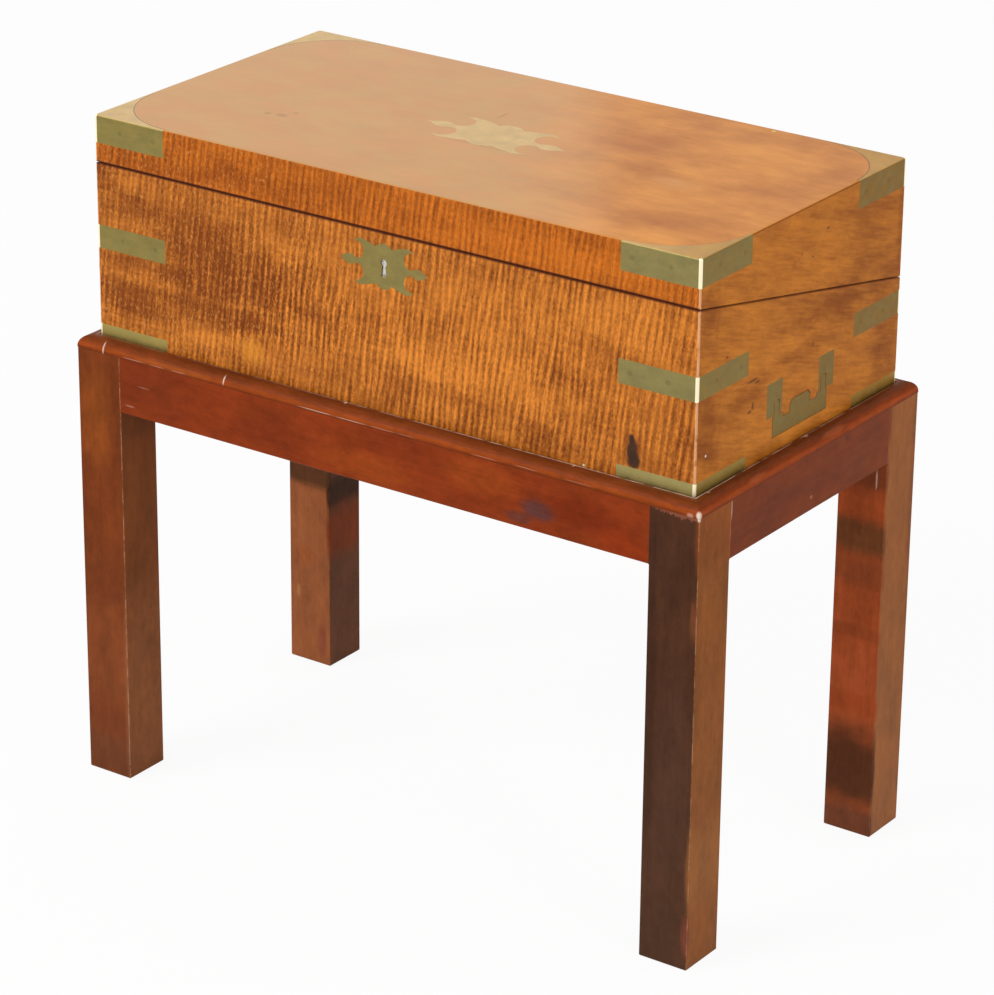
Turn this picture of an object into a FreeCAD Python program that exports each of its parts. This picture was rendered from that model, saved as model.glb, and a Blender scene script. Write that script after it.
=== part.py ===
import FreeCAD, Part
import math
import os
from FreeCAD import Placement, Rotation, Vector

# A campaign desk: a brass-bound writing box that stands loose in the lip of a square-legged stand.
# Millimetres. X runs along the front from left to right, Y from front to back, Z up.
# The origin is on the floor under the middle of the stand.

# Writing box, closed: the lid and base meet in a rim that slopes down from the front to the hinges
case_length = 508.0
case_depth = 260.0
case_height = 174.0
lid_front_height = 35.0
wall = 9.0
bottom_board = 7.0
case_arris = 1.2
rim_gap = 0.4
rim_bevel = 0.8

# Stand
stand_height = 336.0
leg_side = 39.0
rail_height = 42.0
rail_thickness = 20.0
tenon_length = 15.0
tenon_thickness = 8.0
tenon_shoulder = 5.0
stand_arris = 1.0
foot_bevel = 0.8
lip_width = 11.0
lip_height = 9.0
lip_quadrant = 8.0
case_play = 1.0

# Brass straps and caps, let in flush round the corners of the case
strap_thickness = 1.6
strap_arm = 62.0
strap_height = 17.5
front_strap_share = 0.431
back_strap_share = 0.348
cap_height = 20.5
cap_hollow_radius = 60.0
screw_spots = (23.0, 53.0)

# Brass screws, filed flush
screw_head_radius = 1.9
screw_head_depth = 1.1
screw_shank_radius = 0.9
screw_length = 7.0

# Keyhole escutcheon and lid cartouche, two plates of one outline
plate_thickness = 1.2
escutcheon_length = 75.5
escutcheon_height = 33.0
escutcheon_drop = 24.5
cartouche_length = 118.0
cartouche_height = 50.0
keyhole_radius = 2.6
keyhole_drop = 10.2
keyhole_waist = 2.6
keyhole_foot = 4.2

# Box lock behind the keyhole, and the link plate that it holds
lock_skin = 2.2
lock_thickness = 9.0
lock_length = 58.0
lock_height = 34.0
lock_wall = 1.0
selvedge_length = 76.0
selvedge_thickness = 2.0
lock_pin_radius = 1.1
eye_spacing = 28.0
eye_thickness = 2.4
eye_width = 3.4
eye_inset = 4.0
eye_drop = 8.5
eye_hole_top = 4.2
eye_hole_height = 3.0
eye_hole_width = 2.2
link_plate_length = 44.0
link_plate_thickness = 1.4
bolt_travel = 5.0
bolt_play = 0.3
bolt_finger_reach = 3.5
bolt_post = 3.0
bolt_bar_height = 3.8

# Main hinges, two brass butts at the back
hinge_length = 50.0
hinge_inset = 58.0
hinge_outset = 0.5
barrel_radius = 3.0
hinge_pin_radius = 1.5
leaf_thickness = 1.5
knuckle_play = 0.3
pin_play = 0.05

# Carrying handles, let in flush in both ends
bail_thickness = 4.0
bail_length = 69.5
bail_arm_width = 13.0
bail_bottom_level = 19.5
bail_bar_height = 12.0
bail_tab_length = 26.0
bail_tab_height = 8.5
bail_tab_slant = 3.0
bail_play = 0.4
handle_plate_width = 19.5
handle_plate_height = 25.0
handle_plate_level = 35.0
handle_plate_inner = 23.5
handle_axis_rise = 8.4
handle_shoulder = 9.2
handle_tongue_width = 6.0
handle_tongue_centre = 30.0
handle_pin_radius = 1.0
handle_pin_end = 1.0
handle_screw_rise = 14.4

# Writing flaps inside base and lid, with a leather panel let into each
surface_drop = 1.6
flap_board = 5.8
flap_play = 0.5
flap_rest_gap = 0.3
flap_border = 14.0
leather_thickness = 0.8
hinge_fillet = 22.0
fillet_height = 10.0
ledge = 6.0
lid_front_ledge = 14.0
flap_hinge_length = 30.0
flap_hinge_inset = 70.0
flap_leaf_width = 9.0
flap_leaf_thickness = 1.0
flap_barrel_radius = 1.2
flap_pin_radius = 0.6

# Turn catch that keeps the lid's flap shut
catch_length = 13.0
catch_width = 6.0
catch_thickness = 0.9
catch_level = 0.3
catch_pivot = 5.0
catch_screw_head = 0.6

# Pen compartment along the front
pen_width = 47.0
partition = 6.0
ink_place = 46.0
cross_partition = 5.0
ink_floor_board = 5.0
tray_thickness = 15.0
tray_play = 0.5
tray_end = 8.0
tray_edge = 3.5
tray_scoop = 10.0
inkwell_side = 38.0
inkwell_height = 30.0
inkwell_wall = 5.0
inkwell_neck_radius = 11.0
inkwell_cap_radius = 13.0
inkwell_cap_height = 11.0
inkwell_drop = 1.2

# Places that follow from the sizes above
overrun = 5.0
case_bottom = stand_height
case_top = case_bottom + case_height
half_length = case_length / 2
half_depth = case_depth / 2
stand_half_length = half_length + case_play + lip_width
stand_half_depth = half_depth + case_play + lip_width
rail_bottom = stand_height - rail_height
inner_half_length = half_length - wall
inner_half_depth = half_depth - wall
axis_y = half_depth + hinge_outset
axis_z = case_bottom + case_height / 2
front_rim_z = case_top - lid_front_height
slope = math.atan2(front_rim_z - axis_z, axis_y + half_depth)
beyond = case_length + case_depth

x_axis = Vector(1, 0, 0)
y_axis = Vector(0, 1, 0)
z_axis = Vector(0, 0, 1)
nodes = {}


def block(x0, x1, y0, y1, z0, z1):
    return Part.makeBox(x1 - x0, y1 - y0, z1 - z0, Vector(x0, y0, z0))


def prism(points, direction):
    outline = Part.makePolygon(list(points) + [points[0]])
    return Part.Face(outline).extrude(direction)


def rod(radius, length, start, direction):
    return Part.makeCylinder(radius, length, start, direction)


def fused(shapes):
    whole = shapes[0]
    for shape in shapes[1:]:
        whole = whole.fuse(shape)
    return whole.removeSplitter()


def mirrored(shape):
    return shape.mirror(Vector(0, 0, 0), x_axis)


def upright(edge):
    start, end = [vertex.Point for vertex in edge.Vertexes]
    return abs((end - start).normalize().dot(z_axis)) > 1 - 1e-6


def at_height(edge, z):
    return all(abs(vertex.Z - z) < 1e-6 for vertex in edge.Vertexes)


# The rim frame: its origin lies on the hinge axis, its X along the axis. Reach counts from the axis
# towards the front along the rim plane, level counts square to that plane, upwards into the lid.
rim_place = Placement(Vector(0, axis_y, axis_z), Rotation(x_axis, -math.degrees(slope)))


def on_rim(shape):
    placed = shape.copy()
    placed.Placement = rim_place.multiply(placed.Placement)
    return placed


def rim_block(x0, x1, near, far, low, high):
    low, high = min(low, high), max(low, high)
    return on_rim(block(x0, x1, -far, -near, low, high))


def reach(y, level=0.0):
    return (axis_y - y + level * math.sin(slope)) / math.cos(slope)


def above_rim(level):
    return rim_block(-beyond, beyond, -beyond, beyond, level, level + beyond)


def below_rim(level):
    return rim_block(-beyond, beyond, -beyond, beyond, level - beyond, level)


# Four mitred sides of a rectangular frame, named by where they face
side_corners = {
    "front": ((-1, -1), (1, -1)),
    "right": ((1, -1), (1, 1)),
    "back": ((1, 1), (-1, 1)),
    "left": ((-1, 1), (-1, -1)),
}
corner_names = {"front_left": (-1, -1), "front_right": (1, -1), "back_left": (-1, 1), "back_right": (1, 1)}


def frame_side(side, half_x, half_y, width, low, high):
    start, end = side_corners[side]
    outline = ((start, 0.0), (end, 0.0), (end, width), (start, width))
    points = [Vector(sx * (half_x - inset), sy * (half_y - inset), low) for (sx, sy), inset in outline]
    return prism(points, Vector(0, 0, high - low))


# Screws: a countersunk head flush with the face, driven along a direction
def wood_screw(place, direction):
    head = Part.makeCone(screw_head_radius, screw_shank_radius, screw_head_depth, place, direction)
    shank = rod(screw_shank_radius, screw_length, place, direction)
    return head.fuse(shank).removeSplitter()


def inward(sx, sy, along_x, from_corner, z):
    # a screw in a strap's arm: along_x chooses the arm that lies on the front or back face
    if along_x:
        return wood_screw(Vector(sx * (half_length - from_corner), sy * half_depth, z), Vector(0, -sy, 0))
    return wood_screw(Vector(sx * half_length, sy * (half_depth - from_corner), z), Vector(-sx, 0, 0))


def strap_screws(sx, sy, z):
    return [inward(sx, sy, along_x, spot, z) for along_x in (True, False) for spot in screw_spots]


# Stand
def leg(sx, sy):
    x0, x1 = sorted((sx * stand_half_length, sx * (stand_half_length - leg_side)))
    y0, y1 = sorted((sy * stand_half_depth, sy * (stand_half_depth - leg_side)))
    lower = block(x0, x1, y0, y1, 0.0, rail_bottom)
    lower = lower.makeFillet(stand_arris, [edge for edge in lower.Edges if upright(edge)])
    lower = lower.makeChamfer(foot_bevel, [edge for edge in lower.Edges if at_height(edge, 0.0)])
    upper = block(x0, x1, y0, y1, rail_bottom, stand_height)
    corner = Vector(sx * stand_half_length, sy * stand_half_depth, stand_height)
    arris = [edge for edge in upper.Edges
             if upright(edge) and any((vertex.Point - corner).Length < 1e-6 for vertex in edge.Vertexes)]
    upper = upper.makeFillet(stand_arris, arris)
    return fused([lower, upper])


def rail(half_run, half_across, along_x, sign):
    # the body runs between two legs, flush with their outer faces, and a tenon enters each leg
    inner_end = half_run - leg_side
    outer, inner = half_across, half_across - rail_thickness
    middle = (outer + inner) / 2
    body = block(-inner_end, inner_end, inner, outer, rail_bottom, stand_height)
    body = body.makeFillet(stand_arris, [edge for edge in body.Edges
                                         if at_height(edge, rail_bottom) and edge.Length > rail_thickness + overrun])
    tongue = block(-inner_end - tenon_length, inner_end + tenon_length,
                   middle - tenon_thickness / 2, middle + tenon_thickness / 2,
                   rail_bottom + tenon_shoulder, stand_height - tenon_shoulder)
    piece = fused([body, tongue])
    turn = 0.0 if along_x else -90.0
    piece.rotate(Vector(0, 0, 0), z_axis, turn)
    if sign < 0:
        piece.rotate(Vector(0, 0, 0), z_axis, 180.0)
    return piece


def make_stand():
    rails = {
        "rail_front": rail(stand_half_length, stand_half_depth, True, -1),
        "rail_back": rail(stand_half_length, stand_half_depth, True, 1),
        "rail_left": rail(stand_half_depth, stand_half_length, False, -1),
        "rail_right": rail(stand_half_depth, stand_half_length, False, 1),
    }
    nodes.update(rails)
    tenons = Part.makeCompound(list(rails.values()))
    for name, (sx, sy) in corner_names.items():
        nodes["leg_" + name] = leg(sx, sy).cut(tenons)
    ring = block(-stand_half_length, stand_half_length, -stand_half_depth, stand_half_depth,
                 stand_height, stand_height + lip_height)
    ring = ring.makeFillet(lip_quadrant, [edge for edge in ring.Edges if at_height(edge, stand_height + lip_height)])
    for side in side_corners:
        strip = frame_side(side, stand_half_length, stand_half_depth, lip_width,
                           stand_height, stand_height + lip_height)
        nodes["lip_" + side] = ring.common(strip)


# Case: four mitred walls cut apart by the rim, a lid top mitred to them, a bottom board between them
def case_form():
    form = block(-half_length, half_length, -half_depth, half_depth, case_bottom, case_top)
    rounded = [edge for edge in form.Edges if upright(edge) or at_height(edge, case_top)]
    return form.makeFillet(case_arris, rounded)


def rim_groove():
    # a shallow V all round the case where the lid meets the base
    mouth = rim_gap / 2 + rim_bevel + overrun
    floor = rim_gap / 2
    section = [Vector(-beyond, -overrun, -mouth), Vector(-beyond, rim_bevel, -floor),
               Vector(-beyond, rim_bevel, floor), Vector(-beyond, -overrun, mouth)]
    strip = prism(section, Vector(beyond + beyond, 0, 0))
    pieces = []
    front = strip.copy()
    front.translate(Vector(0, -reach(-half_depth), 0))
    pieces.append(front)
    back = strip.copy()
    back.rotate(Vector(0, 0, 0), z_axis, 180.0)
    back.translate(Vector(0, -reach(half_depth), 0))
    pieces.append(back)
    for sign in (-1, 1):
        end = strip.copy()
        end.rotate(Vector(0, 0, 0), z_axis, sign * 90.0)
        end.translate(Vector(sign * half_length, 0, 0))
        pieces.append(end)
    return [on_rim(piece) for piece in pieces]


def lid_top_board():
    def outline(half_x, half_y, z):
        points = [Vector(sx * half_x, sy * half_y, z) for sx, sy in ((-1, -1), (1, -1), (1, 1), (-1, 1))]
        return Part.makePolygon(points + [points[0]])
    return Part.makeLoft([outline(inner_half_length, inner_half_depth, case_top - wall),
                          outline(half_length, half_depth, case_top)], True, True)


# Brass straps and caps
def corner_angle(sx, sy, low, high):
    plan = ((0.0, 0.0), (strap_arm, 0.0), (strap_arm, strap_thickness), (strap_thickness, strap_thickness),
            (strap_thickness, strap_arm), (0.0, strap_arm))
    points = [Vector(sx * (half_length - a), sy * (half_depth - b), low) for a, b in plan]
    return prism(points, Vector(0, 0, high - low))


def corner_cap(sx, sy):
    band = corner_angle(sx, sy, case_top - cap_height, case_top)
    x0, x1 = sorted((sx * half_length, sx * (half_length - strap_arm)))
    y0, y1 = sorted((sy * half_depth, sy * (half_depth - strap_arm)))
    plate = block(x0, x1, y0, y1, case_top - strap_thickness, case_top)
    centre = Vector(sx * (half_length - strap_arm), sy * (half_depth - strap_arm), case_top - cap_height)
    plate = plate.cut(rod(cap_hollow_radius, cap_height + overrun, centre, z_axis))
    return fused([band, plate])


# Ornament plate in its own plane: face at zero, body below. Shares are of the half length and half
# height, for one quarter, from the middle of the top edge to the tip of the arm.
crown_share = (0.0, 1.0)
crown_bend_share = (0.11, 0.93)
notch_share = (0.18, 0.80)
wing_bend_share = (0.30, 0.90)
wing_top_share = (0.47, 1.0)
wing_tip_share = (0.665, 0.85)
wing_turn_share = (0.575, 0.985)
bite_share = (0.455, 0.47)
root_share = (0.525, 0.165)
neck_share = (0.60, 0.12)
leaf_share = (0.70, 0.215)
leaf_bend_share = (0.80, 0.215)
leaf_end_share = (0.89, 0.12)
tip_bend_share = (0.945, 0.045)
tip_share = (1.0, 0.0)
quarter_shares = (
    (crown_share, crown_bend_share, notch_share),
    (notch_share, wing_bend_share, wing_top_share),
    (wing_top_share, wing_turn_share, wing_tip_share),
    (wing_tip_share, bite_share, root_share),
    (root_share, neck_share, leaf_share),
    (leaf_share, leaf_bend_share, leaf_end_share),
    (leaf_end_share, tip_bend_share, tip_share),
)


def ornament(length, height):
    half_l, half_h = length / 2, height / 2
    edges = []
    for sx, sy in ((1, 1), (1, -1), (-1, -1), (-1, 1)):
        for arc in quarter_shares:
            start, middle, end = [Vector(sx * u * half_l, sy * v * half_h, -plate_thickness) for u, v in arc]
            edges.append(Part.Arc(start, middle, end).toShape())
    outline = Part.Wire(Part.__sortEdges__(edges))
    return Part.Face(outline).extrude(Vector(0, 0, plate_thickness))


def keyhole(play, depth):
    # round top and a slot that widens to its foot, upright in the XZ plane, depth along Y
    top = keyhole_drop / 2 - keyhole_radius
    ring = rod(keyhole_radius + play, depth, Vector(0, 0, top), y_axis)
    waist, foot = keyhole_waist / 2 + play, keyhole_foot / 2 + play
    low = top - keyhole_drop - play
    slot = prism([Vector(-waist, 0, top), Vector(waist, 0, top), Vector(foot, 0, low), Vector(-foot, 0, low)],
                 Vector(0, depth, 0))
    return ring.fuse(slot)


# Main hinges and flap hinges
def knuckles(centre, length, radius, outer_pair, bore):
    # three knuckles share the length: the outer pair on one leaf, the middle one on the other
    third = length / 3
    spans = ([(-length / 2, -third / 2 - knuckle_play / 2), (third / 2 + knuckle_play / 2, length / 2)]
             if outer_pair else [(-third / 2 + knuckle_play / 2, third / 2 - knuckle_play / 2)])
    barrels = []
    for start, end in spans:
        barrel = rod(radius, end - start, Vector(centre + start, 0, 0), x_axis)
        barrels.append(barrel.cut(rod(bore, end - start, Vector(centre + start, 0, 0), x_axis)))
    return spans, barrels


def hinge_leaf(centre, length, radius, bore, outer_pair, leaf):
    # leaf is a box function of the span along X; near the other leaf's knuckles it stops short of them
    spans, barrels = knuckles(centre, length, radius, outer_pair, bore)
    plate = leaf(centre - length / 2, centre + length / 2)
    relief = rod(radius + knuckle_play, length + overrun + overrun,
                 Vector(centre - length / 2 - overrun, 0, 0), x_axis)
    pieces = [plate.cut(relief)]
    for start, end in spans:
        own = leaf(centre + start, centre + end)
        pieces.append(own.cut(rod(bore, end - start, Vector(centre + start, 0, 0), x_axis)))
    return on_rim(fused(pieces + barrels))


def main_leaf(sign):
    far = reach(half_depth - wall) - overrun / 5
    low, high = sorted((sign * rim_gap / 2, sign * (rim_gap / 2 + leaf_thickness)))
    return lambda x0, x1: block(x0, x1, -far, 0.0, low, high)


def barrel_room(centre, length, radius):
    run = length + knuckle_play + knuckle_play
    return on_rim(rod(radius + knuckle_play, run, Vector(centre - run / 2, 0, 0), x_axis))


hinge_centres = [sign * (half_length - hinge_inset - hinge_length / 2) for sign in (-1, 1)]
flap_hinge_centres = [sign * (inner_half_length - flap_hinge_inset - flap_hinge_length / 2) for sign in (-1, 1)]


def main_hinges(sign, outer_pair):
    bore = hinge_pin_radius if outer_pair else hinge_pin_radius + pin_play
    return [hinge_leaf(centre, hinge_length, barrel_radius, bore, outer_pair, main_leaf(sign))
            for centre in hinge_centres]


def hinge_screws(sign):
    screws = []
    middle = (reach(half_depth - wall) + barrel_radius) / 2
    for centre in hinge_centres:
        for spot in (-1, 0, 1):
            x = centre + spot * hinge_length / 3
            place = Vector(x, -middle, sign * rim_gap / 2)
            screws.append(on_rim(wood_screw(place, Vector(0, 0, sign))))
    return screws


# Flap, leather, ledges and hinges of one half: sign is 1 in the lid and -1 in the base
def flap_axis():
    return hinge_fillet + flap_play / 2


def flap_level(sign, depth):
    return sign * (surface_drop + depth)


def at_flap_axis(shape, sign):
    # from the rim frame at the flap's own axis
    placed = shape.copy()
    placed.translate(Vector(0, -flap_axis(), sign * surface_drop))
    return on_rim(placed)


def flap_leaf(centre, sign, moving):
    side = -1 if moving else 1
    y0, y1 = sorted((0.0, side * flap_leaf_width))
    z0, z1 = sorted((0.0, sign * flap_leaf_thickness))
    outer_pair = not moving
    bore = flap_pin_radius if outer_pair else flap_pin_radius + pin_play
    spans, barrels = knuckles(centre, flap_hinge_length, flap_barrel_radius, outer_pair, bore)
    plate = block(centre - flap_hinge_length / 2, centre + flap_hinge_length / 2, y0, y1, z0, z1)
    relief = rod(flap_barrel_radius + knuckle_play, flap_hinge_length + overrun + overrun,
                 Vector(centre - flap_hinge_length / 2 - overrun, 0, 0), x_axis)
    pieces = [plate.cut(relief)]
    for start, end in spans:
        own = block(centre + start, centre + end, y0, y1, z0, z1)
        pieces.append(own.cut(rod(bore, end - start, Vector(centre + start, 0, 0), x_axis)))
    return at_flap_axis(fused(pieces + barrels), sign)


def flap_pin(centre, sign):
    pin = rod(flap_pin_radius, flap_hinge_length, Vector(centre - flap_hinge_length / 2, 0, 0), x_axis)
    return at_flap_axis(pin, sign)


def flap_barrel_room(centre, sign):
    run = flap_hinge_length + knuckle_play + knuckle_play
    room = rod(flap_barrel_radius + knuckle_play, run, Vector(centre - run / 2, 0, 0), x_axis)
    return at_flap_axis(room, sign)


def make_flap(sign, far, cavity, prefix):
    half_x = inner_half_length - flap_play
    near = hinge_fillet + flap_play
    fixed = [flap_leaf(centre, sign, False) for centre in flap_hinge_centres]
    moving = [flap_leaf(centre, sign, True) for centre in flap_hinge_centres]
    rooms = [flap_barrel_room(centre, sign) for centre in flap_hinge_centres]
    leather = rim_block(-half_x + flap_border, half_x - flap_border, near + flap_border, far - flap_border,
                        flap_level(sign, 0.0), flap_level(sign, leather_thickness))
    board = rim_block(-half_x, half_x, near, far, flap_level(sign, 0.0), flap_level(sign, flap_board))
    board = board.cut(leather).cut(Part.makeCompound(moving)).cut(Part.makeCompound(rooms))
    nodes[prefix + "_flap"] = board
    nodes[prefix + "_flap_leather"] = leather
    nodes[prefix + "_flap_hinge_leaves"] = Part.makeCompound(moving)
    pins = [flap_pin(centre, sign) for centre in flap_hinge_centres]
    nodes[prefix + "_flap_hinges"] = Part.makeCompound(fixed + pins)
    fillet = rim_block(-inner_half_length, inner_half_length, 0.0, hinge_fillet,
                       flap_level(sign, 0.0), flap_level(sign, fillet_height))
    fillet = fillet.common(cavity).cut(Part.makeCompound(fixed)).cut(Part.makeCompound(rooms))
    top = flap_board + flap_rest_gap
    ledges = [fillet]
    for side in (-1, 1):
        x0, x1 = sorted((side * inner_half_length, side * (inner_half_length - ledge)))
        strip = rim_block(x0, x1, hinge_fillet, far, flap_level(sign, top), flap_level(sign, top + ledge))
        ledges.append(strip.common(cavity))
    return ledges


# Carrying handle of the right end; the left one is its mirror image
bail_bottom = case_bottom + bail_bottom_level
handle_plate_bottom = case_bottom + handle_plate_level
handle_axis_z = handle_plate_bottom + handle_axis_rise
handle_axis_x = half_length - bail_thickness / 2
shoulder_z = handle_axis_z - handle_shoulder


def bail_outline(play, depth):
    outer = bail_length / 2 + play
    inner = bail_length / 2 - bail_arm_width - play
    bar_top = bail_bottom + bail_bar_height + play
    tab = bail_tab_length / 2 + play
    tab_top = bar_top + bail_tab_height + play
    half = [(outer, bail_bottom - play), (outer, shoulder_z + play), (inner, shoulder_z + play), (inner, bar_top),
            (tab, bar_top), (tab, tab_top - bail_tab_slant), (tab - bail_tab_slant, tab_top)]
    points = [Vector(half_length, y, z) for y, z in half]
    points += [Vector(half_length, -y, z) for y, z in reversed(half)]
    return prism(points, Vector(-depth, 0, 0))


def tongue_block(centre, play, depth):
    half = handle_tongue_width / 2 + play
    return block(half_length - depth, half_length, centre - half, centre + half,
                 shoulder_z - play, handle_axis_z)


def handle_knuckle(centre, play):
    half = handle_tongue_width / 2 + play
    return rod(bail_thickness / 2 + play, half + half, Vector(handle_axis_x, centre - half, handle_axis_z), y_axis)


def tongue_centres():
    return (-handle_tongue_centre, handle_tongue_centre)


def bail():
    pieces = [bail_outline(0.0, bail_thickness)]
    for centre in tongue_centres():
        pieces.append(tongue_block(centre, 0.0, bail_thickness))
        pieces.append(handle_knuckle(centre, 0.0))
    bore = rod(handle_pin_radius + pin_play, case_depth, Vector(handle_axis_x, -half_depth, handle_axis_z), y_axis)
    return fused(pieces).cut(bore)


def handle_plates():
    plates, pins, screws = [], [], []
    for sign in (-1, 1):
        y0, y1 = sorted((sign * handle_plate_inner, sign * (handle_plate_inner + handle_plate_width)))
        plate = block(half_length - bail_thickness, half_length, y0, y1,
                      handle_plate_bottom, handle_plate_bottom + handle_plate_height)
        centre = sign * handle_tongue_centre
        play = bail_play - pin_play
        half = handle_tongue_width / 2 + play
        notch = block(half_length - bail_thickness, half_length, centre - half, centre + half,
                      handle_plate_bottom, handle_axis_z + bail_thickness / 2 + play)
        pin_half = half + handle_pin_end + handle_pin_end
        pin = rod(handle_pin_radius, pin_half + pin_half,
                  Vector(handle_axis_x, centre - pin_half, handle_axis_z), y_axis)
        screw = wood_screw(Vector(half_length, centre, handle_plate_bottom + handle_screw_rise), Vector(-1, 0, 0))
        plates.append(plate.cut(notch).cut(pin).cut(screw))
        pins.append(pin)
        screws.append(screw)
    return plates, pins, screws


def handle_recess(plates):
    rooms = [bail_outline(bail_play, bail_thickness + bail_play)]
    for centre in tongue_centres():
        half = handle_tongue_width / 2 + bail_play
        rooms.append(block(half_length - bail_thickness - bail_play, half_length, centre - half, centre + half,
                           shoulder_z - bail_play, handle_axis_z + bail_thickness / 2 + bail_play))
    return rooms + plates


# Lock, bolt and link plate
lock_y0 = -half_depth + lock_skin
lock_y1 = lock_y0 + lock_thickness
keyhole_z = front_rim_z - escutcheon_drop
eye_reach = reach(lock_y0 + eye_inset, -eye_drop / 2)
eye_centres = (-eye_spacing / 2, eye_spacing / 2)


def eye_block(centre, play, low, high):
    half_x, half_v = eye_thickness / 2 + play, eye_width / 2 + play
    return rim_block(centre - half_x, centre + half_x, eye_reach - half_v, eye_reach + half_v, low, high)


def lock_body():
    half = lock_length / 2
    low = front_rim_z - lock_height
    shell = block(-half, half, lock_y0, lock_y1, low, case_top).cut(above_rim(-rim_gap / 2))
    face = block(-selvedge_length / 2, selvedge_length / 2, lock_y0, lock_y1, low, case_top)
    face = face.cut(above_rim(-rim_gap / 2)).cut(below_rim(-rim_gap / 2 - selvedge_thickness))
    return shell, face


def lock_case():
    shell, face = lock_body()
    half = lock_length / 2 - lock_wall
    low = front_rim_z - lock_height + lock_wall
    room = block(-half, half, lock_y0 + lock_wall, lock_y1 - lock_wall, low, case_top)
    room = room.cut(above_rim(-rim_gap / 2 - selvedge_thickness))
    piece = fused([shell, face]).cut(room)
    for centre in eye_centres:
        piece = piece.cut(eye_block(centre, bolt_play + bolt_play, -rim_gap / 2 - selvedge_thickness - overrun / 5, 0.0))
    hole = keyhole(0.0, lock_wall + lock_wall)
    hole.translate(Vector(0, lock_y0 - lock_wall / 2, keyhole_z))
    pin = rod(lock_pin_radius, lock_y1 + half_depth - plate_thickness - lock_wall / 2,
              Vector(0, -half_depth + plate_thickness, keyhole_z + keyhole_drop / 2 - keyhole_radius), y_axis)
    return fused([piece.cut(hole), pin])


def lock_bolt():
    finger_low = -eye_hole_top - eye_hole_height + bolt_play
    finger_high = -eye_hole_top - bolt_play
    half_v = eye_hole_width / 2 - bolt_play
    bar_high = -eye_drop - bolt_play - bolt_play
    pieces = []
    ends = []
    for centre in eye_centres:
        tip = centre - eye_thickness / 2 - bolt_play - bolt_play
        start = tip - bolt_finger_reach - bolt_travel
        ends += [start, tip]
        pieces.append(rim_block(start, tip, eye_reach - half_v, eye_reach + half_v, finger_low, finger_high))
        pieces.append(rim_block(start, start + bolt_post, eye_reach - half_v, eye_reach + half_v,
                                bar_high - bolt_bar_height, finger_high))
    pieces.append(rim_block(min(ends), max(ends), eye_reach - half_v, eye_reach + half_v,
                            bar_high - bolt_bar_height, bar_high))
    return fused(pieces)


def link_plate():
    half = link_plate_length / 2
    near, far = reach(-inner_half_depth, link_plate_thickness), reach(-half_depth) - lock_skin
    pieces = [rim_block(-half, half, near, far, rim_gap / 2, rim_gap / 2 + link_plate_thickness)]
    for centre in eye_centres:
        eye = eye_block(centre, 0.0, -eye_drop, rim_gap / 2 + link_plate_thickness)
        half_v = eye_hole_width / 2
        hole = rim_block(centre - eye_thickness, centre + eye_thickness, eye_reach - half_v, eye_reach + half_v,
                         -eye_hole_top - eye_hole_height, -eye_hole_top)
        pieces.append(eye.cut(hole))
    return fused(pieces)


# Turn catch on the lid's front ledge, drawn turned away from the flap
def turn_catch(pivot_reach):
    low, high = catch_level, catch_level + catch_thickness
    half = catch_width / 2
    bar = block(0.0, catch_length - half, -half, half, low, high)
    heel = rod(half, high - low, Vector(0, 0, low), z_axis)
    tip = rod(half, high - low, Vector(catch_length - half, 0, low), z_axis)
    piece = fused([bar, heel, tip]).cut(rod(screw_shank_radius + pin_play, high, Vector(0, 0, 0), z_axis))
    piece.translate(Vector(0, -pivot_reach, 0))
    return on_rim(piece)


def catch_screw(pivot_reach):
    head_top = catch_level - pin_play
    head = rod(screw_head_radius, catch_screw_head, Vector(0, 0, head_top - catch_screw_head), z_axis)
    shank = rod(screw_shank_radius, screw_length, Vector(0, 0, head_top - catch_screw_head), z_axis)
    screw = fused([head, shank])
    screw.translate(Vector(0, -pivot_reach, 0))
    return on_rim(screw)


# Pen tray, inkwells and their places
pen_back = -half_depth + wall + pen_width
cross_inner = inner_half_length - ink_place - cross_partition
tray_top = surface_drop
tray_bottom = tray_top + tray_thickness


def pen_tray():
    near = reach(pen_back, -tray_top) + tray_play
    far = reach(lock_y1, -tray_bottom) - tray_play
    half = cross_inner - tray_play
    body = rim_block(-half, half, near, far, -tray_bottom, -tray_top)
    chord = (far - near) / 2 - tray_edge
    radius = (chord * chord + tray_scoop * tray_scoop) / (tray_scoop + tray_scoop)
    run = half - tray_end
    scoop = rod(radius, run + run, Vector(-run, -(near + far) / 2, radius - tray_scoop - tray_top), x_axis)
    return body.cut(on_rim(scoop))


def tray_rests():
    rests = []
    for side in (-1, 1):
        x0, x1 = sorted((side * cross_inner, side * (cross_inner - ledge)))
        room = block(x0, x1, -inner_half_depth, pen_back, case_bottom, case_top)
        strip = rim_block(x0, x1, 0.0, beyond, -tray_bottom - ledge, -tray_bottom)
        rests.append(strip.common(room))
    return rests


def ink_floor():
    back_rim = axis_z + (axis_y - pen_back) * math.tan(slope)
    return back_rim - inkwell_drop - surface_drop - inkwell_height - inkwell_cap_height


def ink_partitions():
    boards = []
    for side in (-1, 1):
        x0, x1 = sorted((side * cross_inner, side * (cross_inner + cross_partition)))
        board = block(x0, x1, -inner_half_depth, pen_back, case_bottom + bottom_board, case_top)
        boards.append(board.cut(above_rim(-surface_drop)))
        x0, x1 = sorted((side * (cross_inner + cross_partition), side * inner_half_length))
        boards.append(block(x0, x1, -inner_half_depth, pen_back, ink_floor() - ink_floor_board, ink_floor()))
    return boards


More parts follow.
